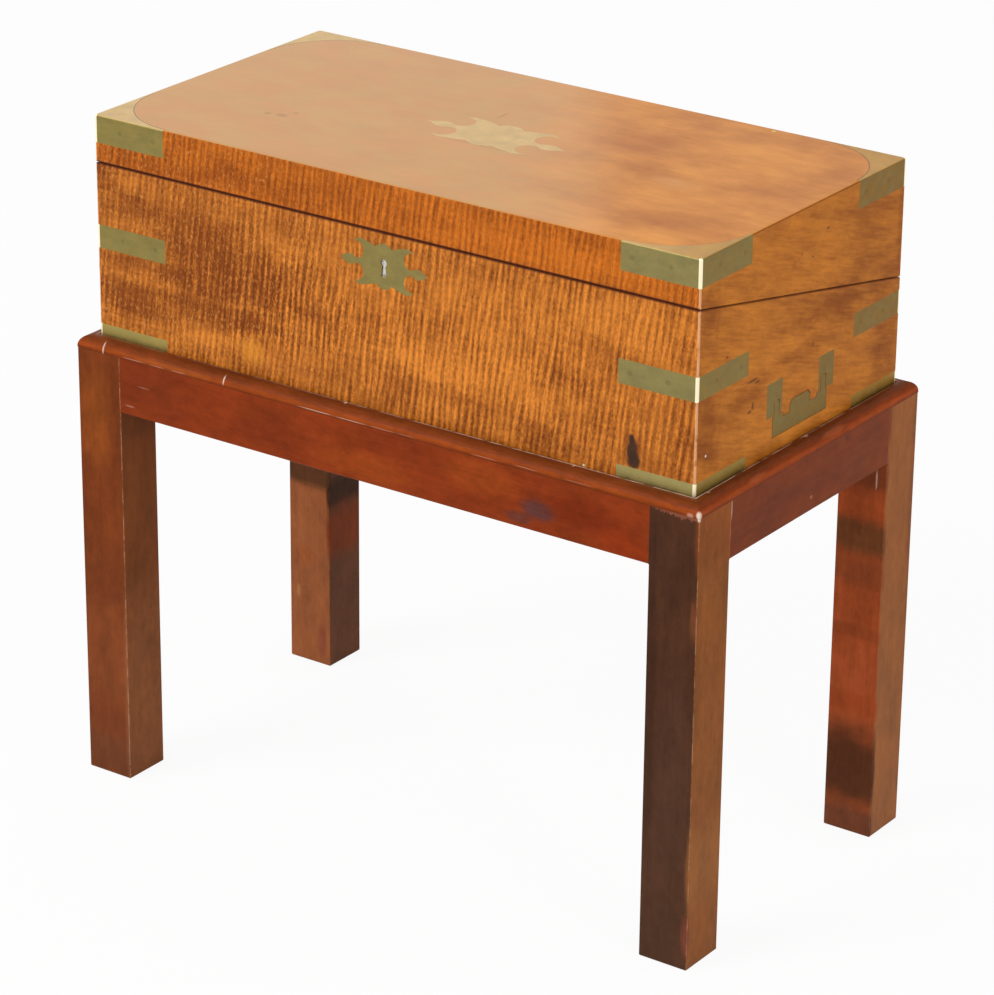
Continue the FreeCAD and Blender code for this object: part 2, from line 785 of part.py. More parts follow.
def inkwells():
    glasses, caps = [], []
    floor = ink_floor()
    middle_y = (pen_back - inner_half_depth) / 2
    half = inkwell_side / 2
    for side in (-1, 1):
        middle_x = side * (inner_half_length - ink_place / 2)
        glass = block(middle_x - half, middle_x + half, middle_y - half, middle_y + half, floor, floor + inkwell_height)
        glass = glass.makeFillet(inkwell_wall / 2, [edge for edge in glass.Edges if upright(edge)])
        centre = Vector(middle_x, middle_y, floor + inkwell_wall)
        well = rod(inkwell_neck_radius, inkwell_height, centre, z_axis)
        glasses.append(glass.cut(well))
        cap = rod(inkwell_cap_radius, inkwell_cap_height, Vector(middle_x, middle_y, floor + inkwell_height), z_axis)
        caps.append(cap.makeFillet(inkwell_wall / 2, [edge for edge in cap.Edges
                                                      if at_height(edge, floor + inkwell_height + inkwell_cap_height)]))
    return glasses, caps


def make_case():
    form = case_form()
    groove = Part.makeCompound(rim_groove())
    cavity = block(-inner_half_length, inner_half_length, -inner_half_depth, inner_half_depth,
                   case_bottom + bottom_board, case_top - wall)
    top_board = lid_top_board()
    walls = {side: frame_side(side, half_length, half_depth, wall, case_bottom, case_top).common(form)
             for side in side_corners}
    base = {side: shape.cut(above_rim(-rim_gap / 2)).cut(groove) for side, shape in walls.items()}
    lid = {side: shape.cut(below_rim(rim_gap / 2)).cut(groove).cut(top_board) for side, shape in walls.items()}
    top = top_board.common(form)
    bottom = block(-inner_half_length, inner_half_length, -inner_half_depth, inner_half_depth,
                   case_bottom, case_bottom + bottom_board)

    # straps and caps, with the screws that hold them
    levels = {-1: front_strap_share * case_height, 1: back_strap_share * case_height}
    mid_straps, foot_straps, caps, base_screws, lid_screws = {}, {}, {}, [], []
    for name, (sx, sy) in corner_names.items():
        low = case_bottom + levels[sy]
        mid_straps[name] = corner_angle(sx, sy, low, low + strap_height).common(form)
        foot_straps[name] = corner_angle(sx, sy, case_bottom, case_bottom + strap_height).common(form)
        caps[name] = corner_cap(sx, sy).common(form)
        base_screws += strap_screws(sx, sy, low + strap_height / 2)
        base_screws += strap_screws(sx, sy, case_bottom + strap_height / 2)
        lid_screws += strap_screws(sx, sy, case_top - cap_height / 2)
    escutcheon = ornament(escutcheon_length, escutcheon_height)
    escutcheon.rotate(Vector(0, 0, 0), x_axis, 90.0)
    escutcheon.translate(Vector(0, -half_depth, keyhole_z))
    cartouche = ornament(cartouche_length, cartouche_height)
    cartouche.translate(Vector(0, 0, case_top))

    # hinges
    base_leaves = main_hinges(-1, True)
    lid_leaves = main_hinges(1, False)
    pins = [on_rim(rod(hinge_pin_radius, hinge_length, Vector(centre - hinge_length / 2, 0, 0), x_axis))
            for centre in hinge_centres]
    rooms = [barrel_room(centre, hinge_length, barrel_radius) for centre in hinge_centres]
    base_screws += hinge_screws(-1)
    lid_screws += hinge_screws(1)

    # lock and keyhole
    shell, face = lock_body()
    skin_hole = keyhole(0.0, lock_skin + overrun)
    skin_hole.translate(Vector(0, -half_depth - overrun / 2, keyhole_z))
    link = link_plate()
    plate, handle_pins, handle_screws = handle_plates()
    recess = handle_recess(plate)
    left_plate = [mirrored(shape) for shape in plate]

    base_hardware = list(mid_straps.values()) + list(foot_straps.values()) + base_leaves + rooms
    base_hardware += [escutcheon, shell, face, skin_hole] + base_screws + recess + handle_screws
    base_hardware += handle_pins + [mirrored(shape) for shape in recess + handle_pins + handle_screws]
    base_cuts = Part.makeCompound(base_hardware)
    lid_cuts = Part.makeCompound(list(caps.values()) + lid_leaves + rooms + [link, cartouche] + lid_screws)
    for side in side_corners:
        label = side + "_end" if side in ("left", "right") else side
        nodes["base_" + label] = base[side].cut(base_cuts)
        nodes["lid_" + label] = lid[side].cut(lid_cuts)
    nodes["base_bottom"] = bottom.cut(base_cuts)
    nodes["lid_top"] = top.cut(lid_cuts)

    all_base_screws = Part.makeCompound(base_screws)
    all_lid_screws = Part.makeCompound(lid_screws)
    for half in ("front", "back"):
        pair = [name for name in corner_names if name.startswith(half)]
        nodes["mid_straps_" + half] = Part.makeCompound([mid_straps[name].cut(all_base_screws) for name in pair])
        nodes["foot_straps_" + half] = Part.makeCompound([foot_straps[name].cut(all_base_screws) for name in pair])
        nodes["lid_caps_" + half] = Part.makeCompound([caps[name].cut(all_lid_screws) for name in pair])
    nodes["keyhole_escutcheon"] = escutcheon.cut(skin_hole)
    nodes["lid_cartouche"] = cartouche
    nodes["base_hinge_leaves"] = Part.makeCompound([leaf.cut(all_base_screws) for leaf in base_leaves])
    nodes["lid_hinge_leaves"] = Part.makeCompound([leaf.cut(all_lid_screws) for leaf in lid_leaves])
    nodes["hinge_pins"] = Part.makeCompound(pins)
    nodes["base_screws"] = all_base_screws
    nodes["lock_case"] = lock_case()
    nodes["lock_bolt"] = lock_bolt()
    nodes["lock_link_plate"] = link
    nodes["handle_plates"] = Part.makeCompound(plate + left_plate)
    nodes["handle_pins"] = Part.makeCompound(handle_pins + [mirrored(shape) for shape in handle_pins])
    nodes["handle_screws"] = Part.makeCompound(handle_screws + [mirrored(shape) for shape in handle_screws])
    nodes["carrying_handle_right"] = bail()
    nodes["carrying_handle_left"] = mirrored(bail())

    # inside of the base
    pen_partition = block(-inner_half_length, inner_half_length, pen_back, pen_back + partition,
                          case_bottom + bottom_board, case_top)
    nodes["pen_partition"] = pen_partition.cut(above_rim(-surface_drop - flap_board - flap_rest_gap))
    nodes["ink_partitions"] = Part.makeCompound(ink_partitions())
    nodes["tray_rests"] = Part.makeCompound(tray_rests())
    nodes["pen_tray"] = pen_tray()
    glasses, ink_caps = inkwells()
    nodes["inkwells"] = Part.makeCompound(glasses)
    nodes["inkwell_caps"] = Part.makeCompound(ink_caps)
    back_of_partition = block(-inner_half_length, inner_half_length, pen_back + partition, inner_half_depth,
                              case_bottom + bottom_board, case_top - wall)
    base_far = reach(pen_back, -surface_drop - flap_board) - flap_play
    ledges = make_flap(-1, base_far, back_of_partition, "base")
    nodes["base_flap_ledges"] = Part.makeCompound(ledges)

    # inside of the lid
    flap_far = reach(-inner_half_depth) - lid_front_ledge
    ledges = make_flap(1, flap_far, cavity, "lid")
    top_level = surface_drop + flap_board + flap_rest_gap
    front_rest = rim_block(-inner_half_length + ledge, inner_half_length - ledge, flap_far - ledge, beyond,
                           top_level, top_level + ledge)
    front_face = rim_block(-inner_half_length, inner_half_length, flap_far + flap_play, beyond,
                           surface_drop, top_level + ledge)
    pivot = flap_far + catch_pivot
    screw = catch_screw(pivot)
    front_ledge = fused([front_rest.common(cavity), front_face.common(cavity)]).cut(screw)
    nodes["lid_flap_ledges"] = Part.makeCompound([front_ledge] + [piece.cut(front_ledge) for piece in ledges])
    nodes["flap_catch"] = turn_catch(pivot)
    nodes["lid_screws"] = Part.makeCompound(lid_screws + [screw])


make_stand()
make_case()
os.makedirs("parts", exist_ok=True)
for name in sorted(nodes):
    shape = nodes[name]
    shape.exportStep("parts/" + name + ".step")
    print(name, "solids", len(shape.Solids), "volume", round(shape.Volume), "valid", shape.isValid())
print("hinge axis y", round(axis_y, 3), "z", round(axis_z, 3), "slope degrees", round(math.degrees(slope), 4))
print("handle axis x", round(handle_axis_x, 3), "z", round(handle_axis_z, 3))
flap_axis_base = rim_place.multVec(Vector(0, -flap_axis(), -surface_drop))
flap_axis_lid = rim_place.multVec(Vector(0, -flap_axis(), surface_drop))
catch_place = rim_place.multVec(Vector(0, -(reach(-inner_half_depth) - lid_front_ledge + catch_pivot), 0))
print("base flap axis", flap_axis_base, "lid flap axis", flap_axis_lid, "catch", catch_place)
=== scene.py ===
import math

import bpy
import numpy as np
from mathutils import Matrix, Vector


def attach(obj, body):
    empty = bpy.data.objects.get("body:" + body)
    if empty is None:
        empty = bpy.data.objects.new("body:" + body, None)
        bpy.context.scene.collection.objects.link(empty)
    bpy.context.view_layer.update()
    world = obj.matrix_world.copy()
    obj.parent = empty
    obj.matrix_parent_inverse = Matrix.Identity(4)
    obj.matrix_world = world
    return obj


# A campaign desk: a brass-bound writing box that stands loose in the lip of a square-legged stand.
# The scene is in metres. Inside the finishes every place and size is in millimetres.
mmPerMetre = 1000.0

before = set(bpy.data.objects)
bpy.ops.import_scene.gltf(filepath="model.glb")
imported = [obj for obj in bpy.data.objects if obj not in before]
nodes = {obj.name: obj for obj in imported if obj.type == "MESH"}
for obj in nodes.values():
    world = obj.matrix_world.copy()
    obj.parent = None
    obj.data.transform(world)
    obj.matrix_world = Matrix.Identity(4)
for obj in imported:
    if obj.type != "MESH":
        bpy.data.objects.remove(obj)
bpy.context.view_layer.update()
print("frame loaded with", len(nodes), "nodes")


# A value or colour in a shader: it wraps a socket, and each operation on it adds its Math node
class Wire:
    def __init__(self, finish, socket):
        self.finish = finish
        self.socket = socket

    def math(self, operation, *values):
        return self.finish.node("ShaderNodeMath", {"operation": operation}, dict(enumerate(values)))

    def __add__(self, other):
        return self.math("ADD", self, other)

    def __sub__(self, other):
        return self.math("SUBTRACT", self, other)

    def __mul__(self, other):
        return self.math("MULTIPLY", self, other)

    def __truediv__(self, other):
        return self.math("DIVIDE", self, other)

    def __rsub__(self, other):
        return self.math("SUBTRACT", other, self)

    def __abs__(self):
        return self.math("ABSOLUTE", self)

    __radd__ = __add__
    __rmul__ = __mul__

    def least(self, other):
        return self.math("MINIMUM", self, other)

    def most(self, other):
        return self.math("MAXIMUM", self, other)


# The rim of a ragged spot: noise whose grains are a share of the spot's half sizes
rimLook = {"least": 1.0, "share": 0.6, "detail": 3.0, "roughness": 0.6}


# A material under construction, with the piece's own coordinates in millimetres
class Finish:
    def __init__(self, name, constants):
        self.material = bpy.data.materials.new(name)
        self.material.use_nodes = True
        self.tree = self.material.node_tree
        self.shader = self.tree.nodes["Principled BSDF"]
        for socket, value in constants.items():
            self.shader.inputs[socket].default_value = value
        self.mm = self.turned((0.0, 0.0, 0.0))
        self.x, self.y, self.z = self.parts(self.mm)
        face = self.node("ShaderNodeTexCoord", {}, {}, "Normal")
        self.faceX, self.faceY, self.faceZ = self.parts(face)

    # Adds any node: its settings first, then the value or link of each input
    def node(self, kind, settings, inputs, output=0):
        made = self.tree.nodes.new(kind)
        for setting, value in settings.items():
            setattr(made, setting, value)
        for socket, value in inputs.items():
            if isinstance(value, Wire):
                self.tree.links.new(value.socket, made.inputs[socket])
            else:
                made.inputs[socket].default_value = value
        return Wire(self, made.outputs[output])

    def parts(self, vector):
        return [self.node("ShaderNodeSeparateXYZ", {}, {0: vector}, axis) for axis in range(3)]

    # The piece's coordinates in millimetres, turned by three angles
    def turned(self, angles):
        place = self.node("ShaderNodeTexCoord", {}, {}, "Object")
        inputs = {"Vector": place, "Rotation": angles, "Scale": (mmPerMetre,) * 3}
        return self.node("ShaderNodeMapping", {}, inputs)

    # Noise around a half whose grains measure the given sizes
    def noise(self, sizes, detail, rough, shift, place=None, warp=0.0):
        fitted = self.node("ShaderNodeMapping", {}, {
            "Vector": place or self.mm,
            "Location": (shift, shift, shift),
            "Scale": tuple(1.0 / size for size in sizes),
        })
        return self.node("ShaderNodeTexNoise", {}, {
            "Vector": fitted, "Scale": 1.0, "Detail": detail, "Roughness": rough, "Distortion": warp,
        })

    # The same noise drawn out along the grain's axis, in streaks of the given length and width
    def grained(self, grain, length, width, detail, rough, shift, place=None):
        sizes = [length if axis == grain else width for axis in range(3)]
        return self.noise(sizes, detail, rough, shift, place)

    # 0 below the low value, 1 above the high one, with a smooth step between
    def step(self, value, low, high):
        return self.node("ShaderNodeMapRange", {"interpolation_type": "SMOOTHSTEP"},
                         {"Value": value, "From Min": low, "From Max": high})

    # 1 inside an oval with the given half sizes: the distance from its centre, counted in half sizes and
    # made uneven by the raggedness, steps down softly around 1
    def spot(self, centre, halves, soft, ragged):
        away = self.node("ShaderNodeVectorMath", {"operation": "SUBTRACT"}, {0: self.mm, 1: centre})
        away = self.node("ShaderNodeVectorMath", {"operation": "DIVIDE"}, {0: away, 1: halves})
        far = self.node("ShaderNodeVectorMath", {"operation": "LENGTH"}, {0: away}, "Value")
        if ragged:
            grains = [max(half, rimLook["least"]) * rimLook["share"] for half in halves]
            uneven = self.noise(grains, rimLook["detail"], rimLook["roughness"], centre[0])
            far = far + (uneven - 0.5) * ragged
        return 1.0 - self.step(far, 1.0 - soft, 1.0 + soft)

    # The sum of several spots, each with its own strength
    def spots(self, marks, soft, ragged):
        return sum(self.spot(centre, halves, soft, ragged) * strength for centre, halves, strength in marks)

    def mix(self, share, first, second):
        inputs = {0: share, 6: colour(first), 7: colour(second)}
        return self.node("ShaderNodeMix", {"data_type": "RGBA"}, inputs, 2)

    # The base with a spot of another tone on it
    def dab(self, base, centre, halves, tone, strength, soft, ragged):
        return self.mix(self.spot(centre, halves, soft, ragged) * strength, base, tone)

    # A colour made darker or lighter by a value
    def shaded(self, base, value):
        return self.node("ShaderNodeVectorMath", {"operation": "SCALE"}, {0: base, 3: value})

    # A bump in which a height of 1 stands out by the depth
    def bump(self, height, depth):
        inputs = {"Height": height, "Distance": depth / mmPerMetre, "Strength": 1.0}
        return self.node("ShaderNodeBump", {}, inputs)

    # Feeds the shader and gives the finished material
    def done(self, **feeds):
        for socket, wire in feeds.items():
            self.tree.links.new(wire.socket, self.shader.inputs[socket.replace("_", " ")])
        return self.material


def colour(value):
    return value if isinstance(value, Wire) else (*value, 1.0)


def assign(material, *names):
    for name in names:
        for slot in nodes[name].material_slots:
            slot.material = material


# Case wood: a rippled front, plain ends and a paler top. In the look of each finish a noise row holds
# grain sizes, detail, roughness and shift, a streak row length, width, detail, roughness and shift, a
# range the two ends of a step, and a rim how soft and how ragged a spot's edge is. A mark is a place,
# half sizes and a strength. A dab is a place and half sizes, then a colour, its strength and the rim.
caseLook = {
    "half": (254.0, 130.0),
    "arris": 1.3,
    "arrisRange": (-0.2, 0.25),
    "wornArris": (0.80, 0.42, 0.22),
    "wear": ((6.0, 6.0, 9.0), 3.0, 0.6, 0.0),
    "wearRange": (0.34, 0.5),
    "wearLeast": 0.2,
    "wearMore": 0.6,
    # Painted shade in the parting of lid and base
    "rimShade": (0.085, 0.019, 0.010),
    "rimAxis": (130.5, 423.0),
    "rimSlope": math.radians(11.2888),
    "rimCore": 0.3,
}


# Line on the upright corners of the case: 1 where both faces of a corner are within the width. On the wood
# it marks wear, on the brass wear with a painted highlight
def arrisMask(finish, width):
    halfX, halfY = caseLook["half"]
    farX = abs(finish.x) - (halfX - width)
    farY = abs(finish.y) - (halfY - width)
    return finish.step(farX.least(farY), *caseLook["arrisRange"])


# That line in pale wood, broken up by noise
def wornArris(finish, wood):
    look = caseLook
    wear = finish.step(finish.noise(*look["wear"]), *look["wearRange"])
    broken = wear * look["wearMore"] + look["wearLeast"]
    return finish.mix(arrisMask(finish, look["arris"]) * broken, wood, look["wornArris"])


# Painted shade along the parting of lid and base: a dark line where the height over the sloping rim plane,
# which is the turned distance from the hinge axis, is small
def rimShade(finish, wood, reach, strength):
    look = caseLook
    axisY, axisZ = look["rimAxis"]
    slope = look["rimSlope"]
    height = (finish.z - axisZ) * math.cos(slope) + (finish.y - axisY) * math.sin(slope)
    line = 1.0 - finish.step(abs(height), reach * look["rimCore"], reach)
    return finish.mix(line * strength, wood, look["rimShade"])


# The end of every wood: haze and pores vary its roughness; pores, streaks and relief make its bump
def woodDone(finish, look, wood, haze, streak, pores, relief=0.0):
    weight = look["weight"]
    gloss = look["roughness"] + haze * weight["glossHaze"] + pores * weight["glossPores"]
    height = pores * weight["bumpPores"] + streak * weight["bumpStreak"] + relief
    return finish.done(Base_Color=wood, Roughness=gloss, Normal=finish.bump(height, look["bump"]))


frontLook = {
    "specular": 0.08,
    "roughness": 0.33,
    "bump": 0.12,
    "leftRange": (-150.0, 0.0),
    "lean": 0.125,
    "leanFrom": 400.0,
    "ripple": 5.4,
    "wander": ((22.0, 60.0, 90.0), 3.0, 0.5, 3.1),
    "strand": ((2.2, 60.0, 28.0), 3.0, 0.5, 11.0),
    "fleck": ((1.5, 60.0, 2.9), 2.0, 0.6, 15.0),
    "glint": ((1.6, 60.0, 3.4), 2.0, 0.5, 21.0),
    "glintRange": (0.56, 0.72),
    "glintTone": (0.74, 0.33, 0.085),
    "patch": ((26.0, 60.0, 14.0), 3.0, 0.55, 5.0),
    "patchRange": (0.3, 0.6),
    "cloud": ((36.0, 80.0, 15.0), 4.0, 0.65, 1.7),
    "streak": (40.0, 2.2, 4.0, 0.65, 7.3),
    "pores": (9.0, 0.42, 2.0, 0.5, 2.2),
    "poreRange": (0.6, 0.74),
    "toneRange": (-0.05, 1.05),
    "strongRim": (0.8, 1.2),
    "markRim": (0.6, 1.9),
    "rimShade": (1.9, 0.88),
    "weight": {
        "wander": 2.2, "wave": 0.20, "strand": 1.1, "lines": 1.1, "linesLeft": 0.2,
        "fleck": 1.15, "fleckLeft": 0.1, "patch": 0.5, "power": 0.6, "glint": 0.15, "glintLeft": 0.25,
        "toneCloud": 0.75, "toneStreak": 0.3, "toneBand": 0.75,
        "shadeBand": 0.45, "shadePores": 0.12, "shadeLeast": 0.3,
        "glossHaze": 0.15, "glossPores": 0.12, "bumpPores": -0.4, "bumpStreak": 0.15, "bumpBand": 0.3,
    },
    "amber": ((-115, -130, 363), (9, 6, 9), (0.72, 0.28, 0.025), 0.4, 0.6, 1.6),
    "halo": ((205, -130, 366), (7, 6, 13), (0.30, 0.075, 0.012), 0.5, 0.7, 1.2),
    "knotPlaces": [
        ((205.5, -130, 359), (5.4, 6, 6)), ((204.5, -130, 366), (4.2, 6, 8)),
        ((203.5, -130, 374), (2, 6, 3)),
    ],
    "knot": ((0.046, 0.022, 0.012), 0.95, 0.35, 0.8),
    "speck": ((166, -130, 346), (0.9, 3, 0.9), (0.8, 0.72, 0.6), 1.0, 0.3, 0.0),
    "base": {
        "dark": (0.205, 0.045, 0.004),
        "light": (0.65, 0.210, 0.027),
        "depth": 0.90,
        "strong": [
            ((-95, -130, 405), (52, 6, 34), 0.6), ((50, -130, 392), (90, 6, 30), 0.2),
            ((150, -130, 400), (50, 6, 46), 0.1), ((-225, -130, 425), (34, 6, 46), -0.3),
        ],
        "marks": [
            ((-165, -130, 436), (32, 6, 20), -0.20), ((-112, -130, 420), (38, 6, 16), -0.26),
            ((-218, -130, 449), (24, 6, 7), -0.18), ((-228, -130, 405), (28, 6, 5), -0.20),
            ((-232, -130, 380), (22, 6, 11), -0.28), ((-150, -130, 383), (46, 6, 10), -0.26),
            ((-120, -130, 384), (12, 6, 7), -0.22), ((-190, -130, 430), (70, 6, 50), -0.10),
            ((-160, -130, 403), (34, 6, 8), -0.30), ((-88, -130, 403), (34, 6, 8), -0.22),
            ((-215, -130, 368), (36, 6, 8), -0.22), ((-246, -130, 468), (10, 6, 9), -0.26),
            ((-215, -130, 394), (50, 6, 3), 0.10), ((-150, -130, 364), (50, 6, 5), 0.20),
            ((-226, -130, 363), (24, 6, 4), 0.18), ((-215, -130, 464), (30, 6, 5), 0.12),
            ((147, -130, 400), (30, 6, 11), -0.14), ((12, -130, 364), (14, 6, 14), -0.16),
            ((85, -130, 357), (17, 6, 10), -0.14), ((131, -130, 357), (22, 6, 10), -0.22),
            ((60, -130, 430), (70, 6, 20), 0.08), ((40, -130, 390), (36, 6, 14), 0.16),
            ((150, -130, 445), (70, 6, 16), 0.12), ((-40, -130, 445), (40, 6, 20), 0.06),
            ((100, -130, 412), (36, 6, 14), 0.12), ((20, -130, 386), (60, 6, 8), 0.20),
            ((118, -130, 388), (44, 6, 16), 0.22), ((206, -130, 458), (50, 6, 18), 0.16),
            ((244, -130, 376), (10, 6, 24), -0.16),
        ],
    },
    "lid": {
        "dark": (0.235, 0.048, 0.003),
        "light": (0.61, 0.160, 0.012),
        "depth": 0.74,
        "strong": [((0, -130, 488), (200, 6, 20), 0.05)],
        "marks": [
            ((-200, -130, 484), (44, 6, 9), -0.14), ((120, -130, 487), (90, 6, 12), 0.16),
            ((-20, -130, 490), (50, 6, 8), -0.04), ((-120, -130, 488), (60, 6, 10), -0.14),
        ],
    },
}


# Rippled wood: bands across the grain, made of a sine in X that leans evenly and wanders a little, long
# strands of noise that lie along it, and fine flecks. The sum is stronger in some patches than in
# others. Towards the left its lines count less, its flecks more, and more pale glints lie in it.
def rippledWood(name, board, withKnot):
    look = frontLook
    weight = look["weight"]
    finish = Finish(name, {"Specular IOR Level": look["specular"]})
    left = 1.0 - finish.step(finish.x, *look["leftRange"])
    across = finish.x - (finish.z - look["leanFrom"]) * look["lean"]
    lie = finish.node("ShaderNodeCombineXYZ", {}, {0: across, 1: finish.y, 2: finish.z})
    phase = across / look["ripple"] + (finish.noise(*look["wander"]) - 0.5) * weight["wander"]
    wave = finish.node("ShaderNodeMath", {"operation": "SINE"}, {0: phase * (2.0 * math.pi)})
    strand = finish.noise(*look["strand"], lie) - 0.5
    fleck = finish.noise(*look["fleck"], lie) - 0.5
    glint = finish.step(finish.noise(*look["glint"], lie), *look["glintRange"])
    patch = finish.step(finish.noise(*look["patch"]), *look["patchRange"])
    strong = finish.spots(board["strong"], *look["strongRim"])
    power = (patch * weight["patch"] + weight["power"] + strong) * board["depth"]
    lines = wave * weight["wave"] + strand * weight["strand"]
    lines = lines * (weight["lines"] - left * weight["linesLeft"])
    band = (lines + fleck * (weight["fleck"] + left * weight["fleckLeft"])) * power
    cloud = finish.noise(*look["cloud"]) - 0.5
    streak = finish.grained(0, *look["streak"])
    pores = finish.step(finish.grained(0, *look["pores"]), *look["poreRange"])
    tone = 0.5 + cloud * weight["toneCloud"] + (streak - 0.5) * weight["toneStreak"]
    tone = tone + finish.spots(board["marks"], *look["markRim"]) + band * weight["toneBand"]
    wood = finish.mix(finish.step(tone, *look["toneRange"]), board["dark"], board["light"])
    shade = 1.0 + band * weight["shadeBand"] - pores * weight["shadePores"]
    wood = finish.shaded(wood, shade.most(weight["shadeLeast"]))
    wood = finish.mix(glint * (left * weight["glintLeft"] + weight["glint"]), wood, look["glintTone"])
    if withKnot:
        wood = finish.dab(wood, *look["amber"])
        wood = finish.dab(wood, *look["halo"])
        for centre, halves in look["knotPlaces"]:
            wood = finish.dab(wood, centre, halves, *look["knot"])
        wood = finish.dab(wood, *look["speck"])
    wood = rimShade(finish, wornArris(finish, wood), *look["rimShade"])
    return woodDone(finish, look, wood, cloud, streak, pores, band * weight["bumpBand"])


endLook = {
    "dark": (0.25, 0.062, 0.004),
    "light": (0.70, 0.240, 0.028),
    "specular": 0.045,
    "roughness": 0.36,
    "bump": 0.12,
    "tilt": math.radians(17.0),
    "cloud": ((60.0, 44.0, 13.0), 3.0, 0.6, 4.0),
    "streak": (24.0, 2.4, 4.0, 0.65, 9.0),
    "flame": ((30.0, 9.0, 9.0), 3.0, 0.6, 2.0),
    "flameWarp": 0.8,
    "pores": (4.5, 0.6, 2.0, 0.5, 6.0),
    "poreRange": (0.58, 0.72),
    "toneRange": (0.0, 1.0),
    "markRim": (0.7, 1.4),
    "rimShade": (1.3, 0.6),
    "edge": (0.15, 0.045, 0.015),
    "edgeRange": (508.4, 509.2),
    "edgeStrength": 0.6,
    "weight": {
        "toneCloud": 0.75, "toneStreak": 0.6, "toneFlame": 0.2, "shadePores": 0.14,
        "glossHaze": 0.15, "glossPores": 0.12, "bumpPores": -0.5, "bumpStreak": 0.2,
    },
    "marks": [
        ((254, 37, 429), (5, 30, 11), -0.30), ((254, -116, 472), (5, 13, 16), -0.22),
        ((254, -118, 385), (5, 14, 24), -0.26), ((254, 114, 380), (5, 17, 20), -0.26),
        ((254, 127, 462), (5, 4, 26), -0.2), ((254, 80, 446), (5, 40, 8), -0.10),
        ((254, 0, 408), (5, 26, 6), -0.10), ((254, -66, 394), (5, 20, 8), -0.10),
        ((254, 100, 480), (5, 36, 16), -0.12), ((254, 116, 422), (5, 16, 18), -0.20),
        ((254, 70, 420), (5, 30, 8), -0.14), ((254, -30, 418), (5, 50, 8), 0.10),
        ((254, -60, 440), (5, 50, 10), 0.04), ((254, -80, 366), (5, 30, 10), 0.10),
        ((254, -10, 356), (5, 40, 6), 0.16),
    ],
    "nickPlaces": [
        ((254, -62, 405.5), (3, 6.0, 1.0)), ((254, -56, 403), (3, 3.0, 0.8)),
        ((254, -61, 387), (3, 1.4, 2.6)), ((254, -65, 384), (3, 2.6, 1.0)),
        ((254, 9.5, 472), (3, 1.6, 0.6)), ((254, 28, 487.5), (3, 1.6, 0.9)),
        ((254, -5, 478), (3, 0.6, 1.4)), ((254, 14.5, 408), (3, 0.7, 1.8)),
        ((254, -95, 432), (3, 1.8, 0.8)),
    ],
    "nick": ((0.06, 0.02, 0.01), 0.7, 0.5, 1.2),
    "speck": ((254, -118, 370), (3, 0.9, 0.9), (0.8, 0.75, 0.62), 1.0, 0.3, 0.0),
}


# Plain board: soft figure along Y, running down towards the back, with faint short flecks of pores
def endWood(name, spotted):
    look = endLook
    weight = look["weight"]
    finish = Finish(name, {"Specular IOR Level": look["specular"]})
    lie = finish.turned((look["tilt"], 0.0, 0.0))
    cloud = finish.noise(*look["cloud"], lie) - 0.5
    streak = finish.grained(1, *look["streak"], lie)
    flame = finish.noise(*look["flame"], lie, look["flameWarp"]) - 0.5
    pores = finish.step(finish.grained(1, *look["pores"], lie), *look["poreRange"])
    tone = 0.5 + cloud * weight["toneCloud"] + (streak - 0.5) * weight["toneStreak"]
    tone = tone + flame * weight["toneFlame"]
    if spotted:
        tone = tone + finish.spots(look["marks"], *look["markRim"])
    wood = finish.mix(finish.step(tone, *look["toneRange"]), look["dark"], look["light"])
    wood = finish.shaded(wood, 1.0 - pores * weight["shadePores"])
    if spotted:
        for centre, halves in look["nickPlaces"]:
            wood = finish.dab(wood, centre, halves, *look["nick"])
        wood = finish.dab(wood, *look["speck"])
    edge = finish.step(finish.z, *look["edgeRange"])
    wood = finish.mix(edge * look["edgeStrength"], wood, look["edge"])
    wood = rimShade(finish, wornArris(finish, wood), *look["rimShade"])
    return woodDone(finish, look, wood, cloud, streak, pores)


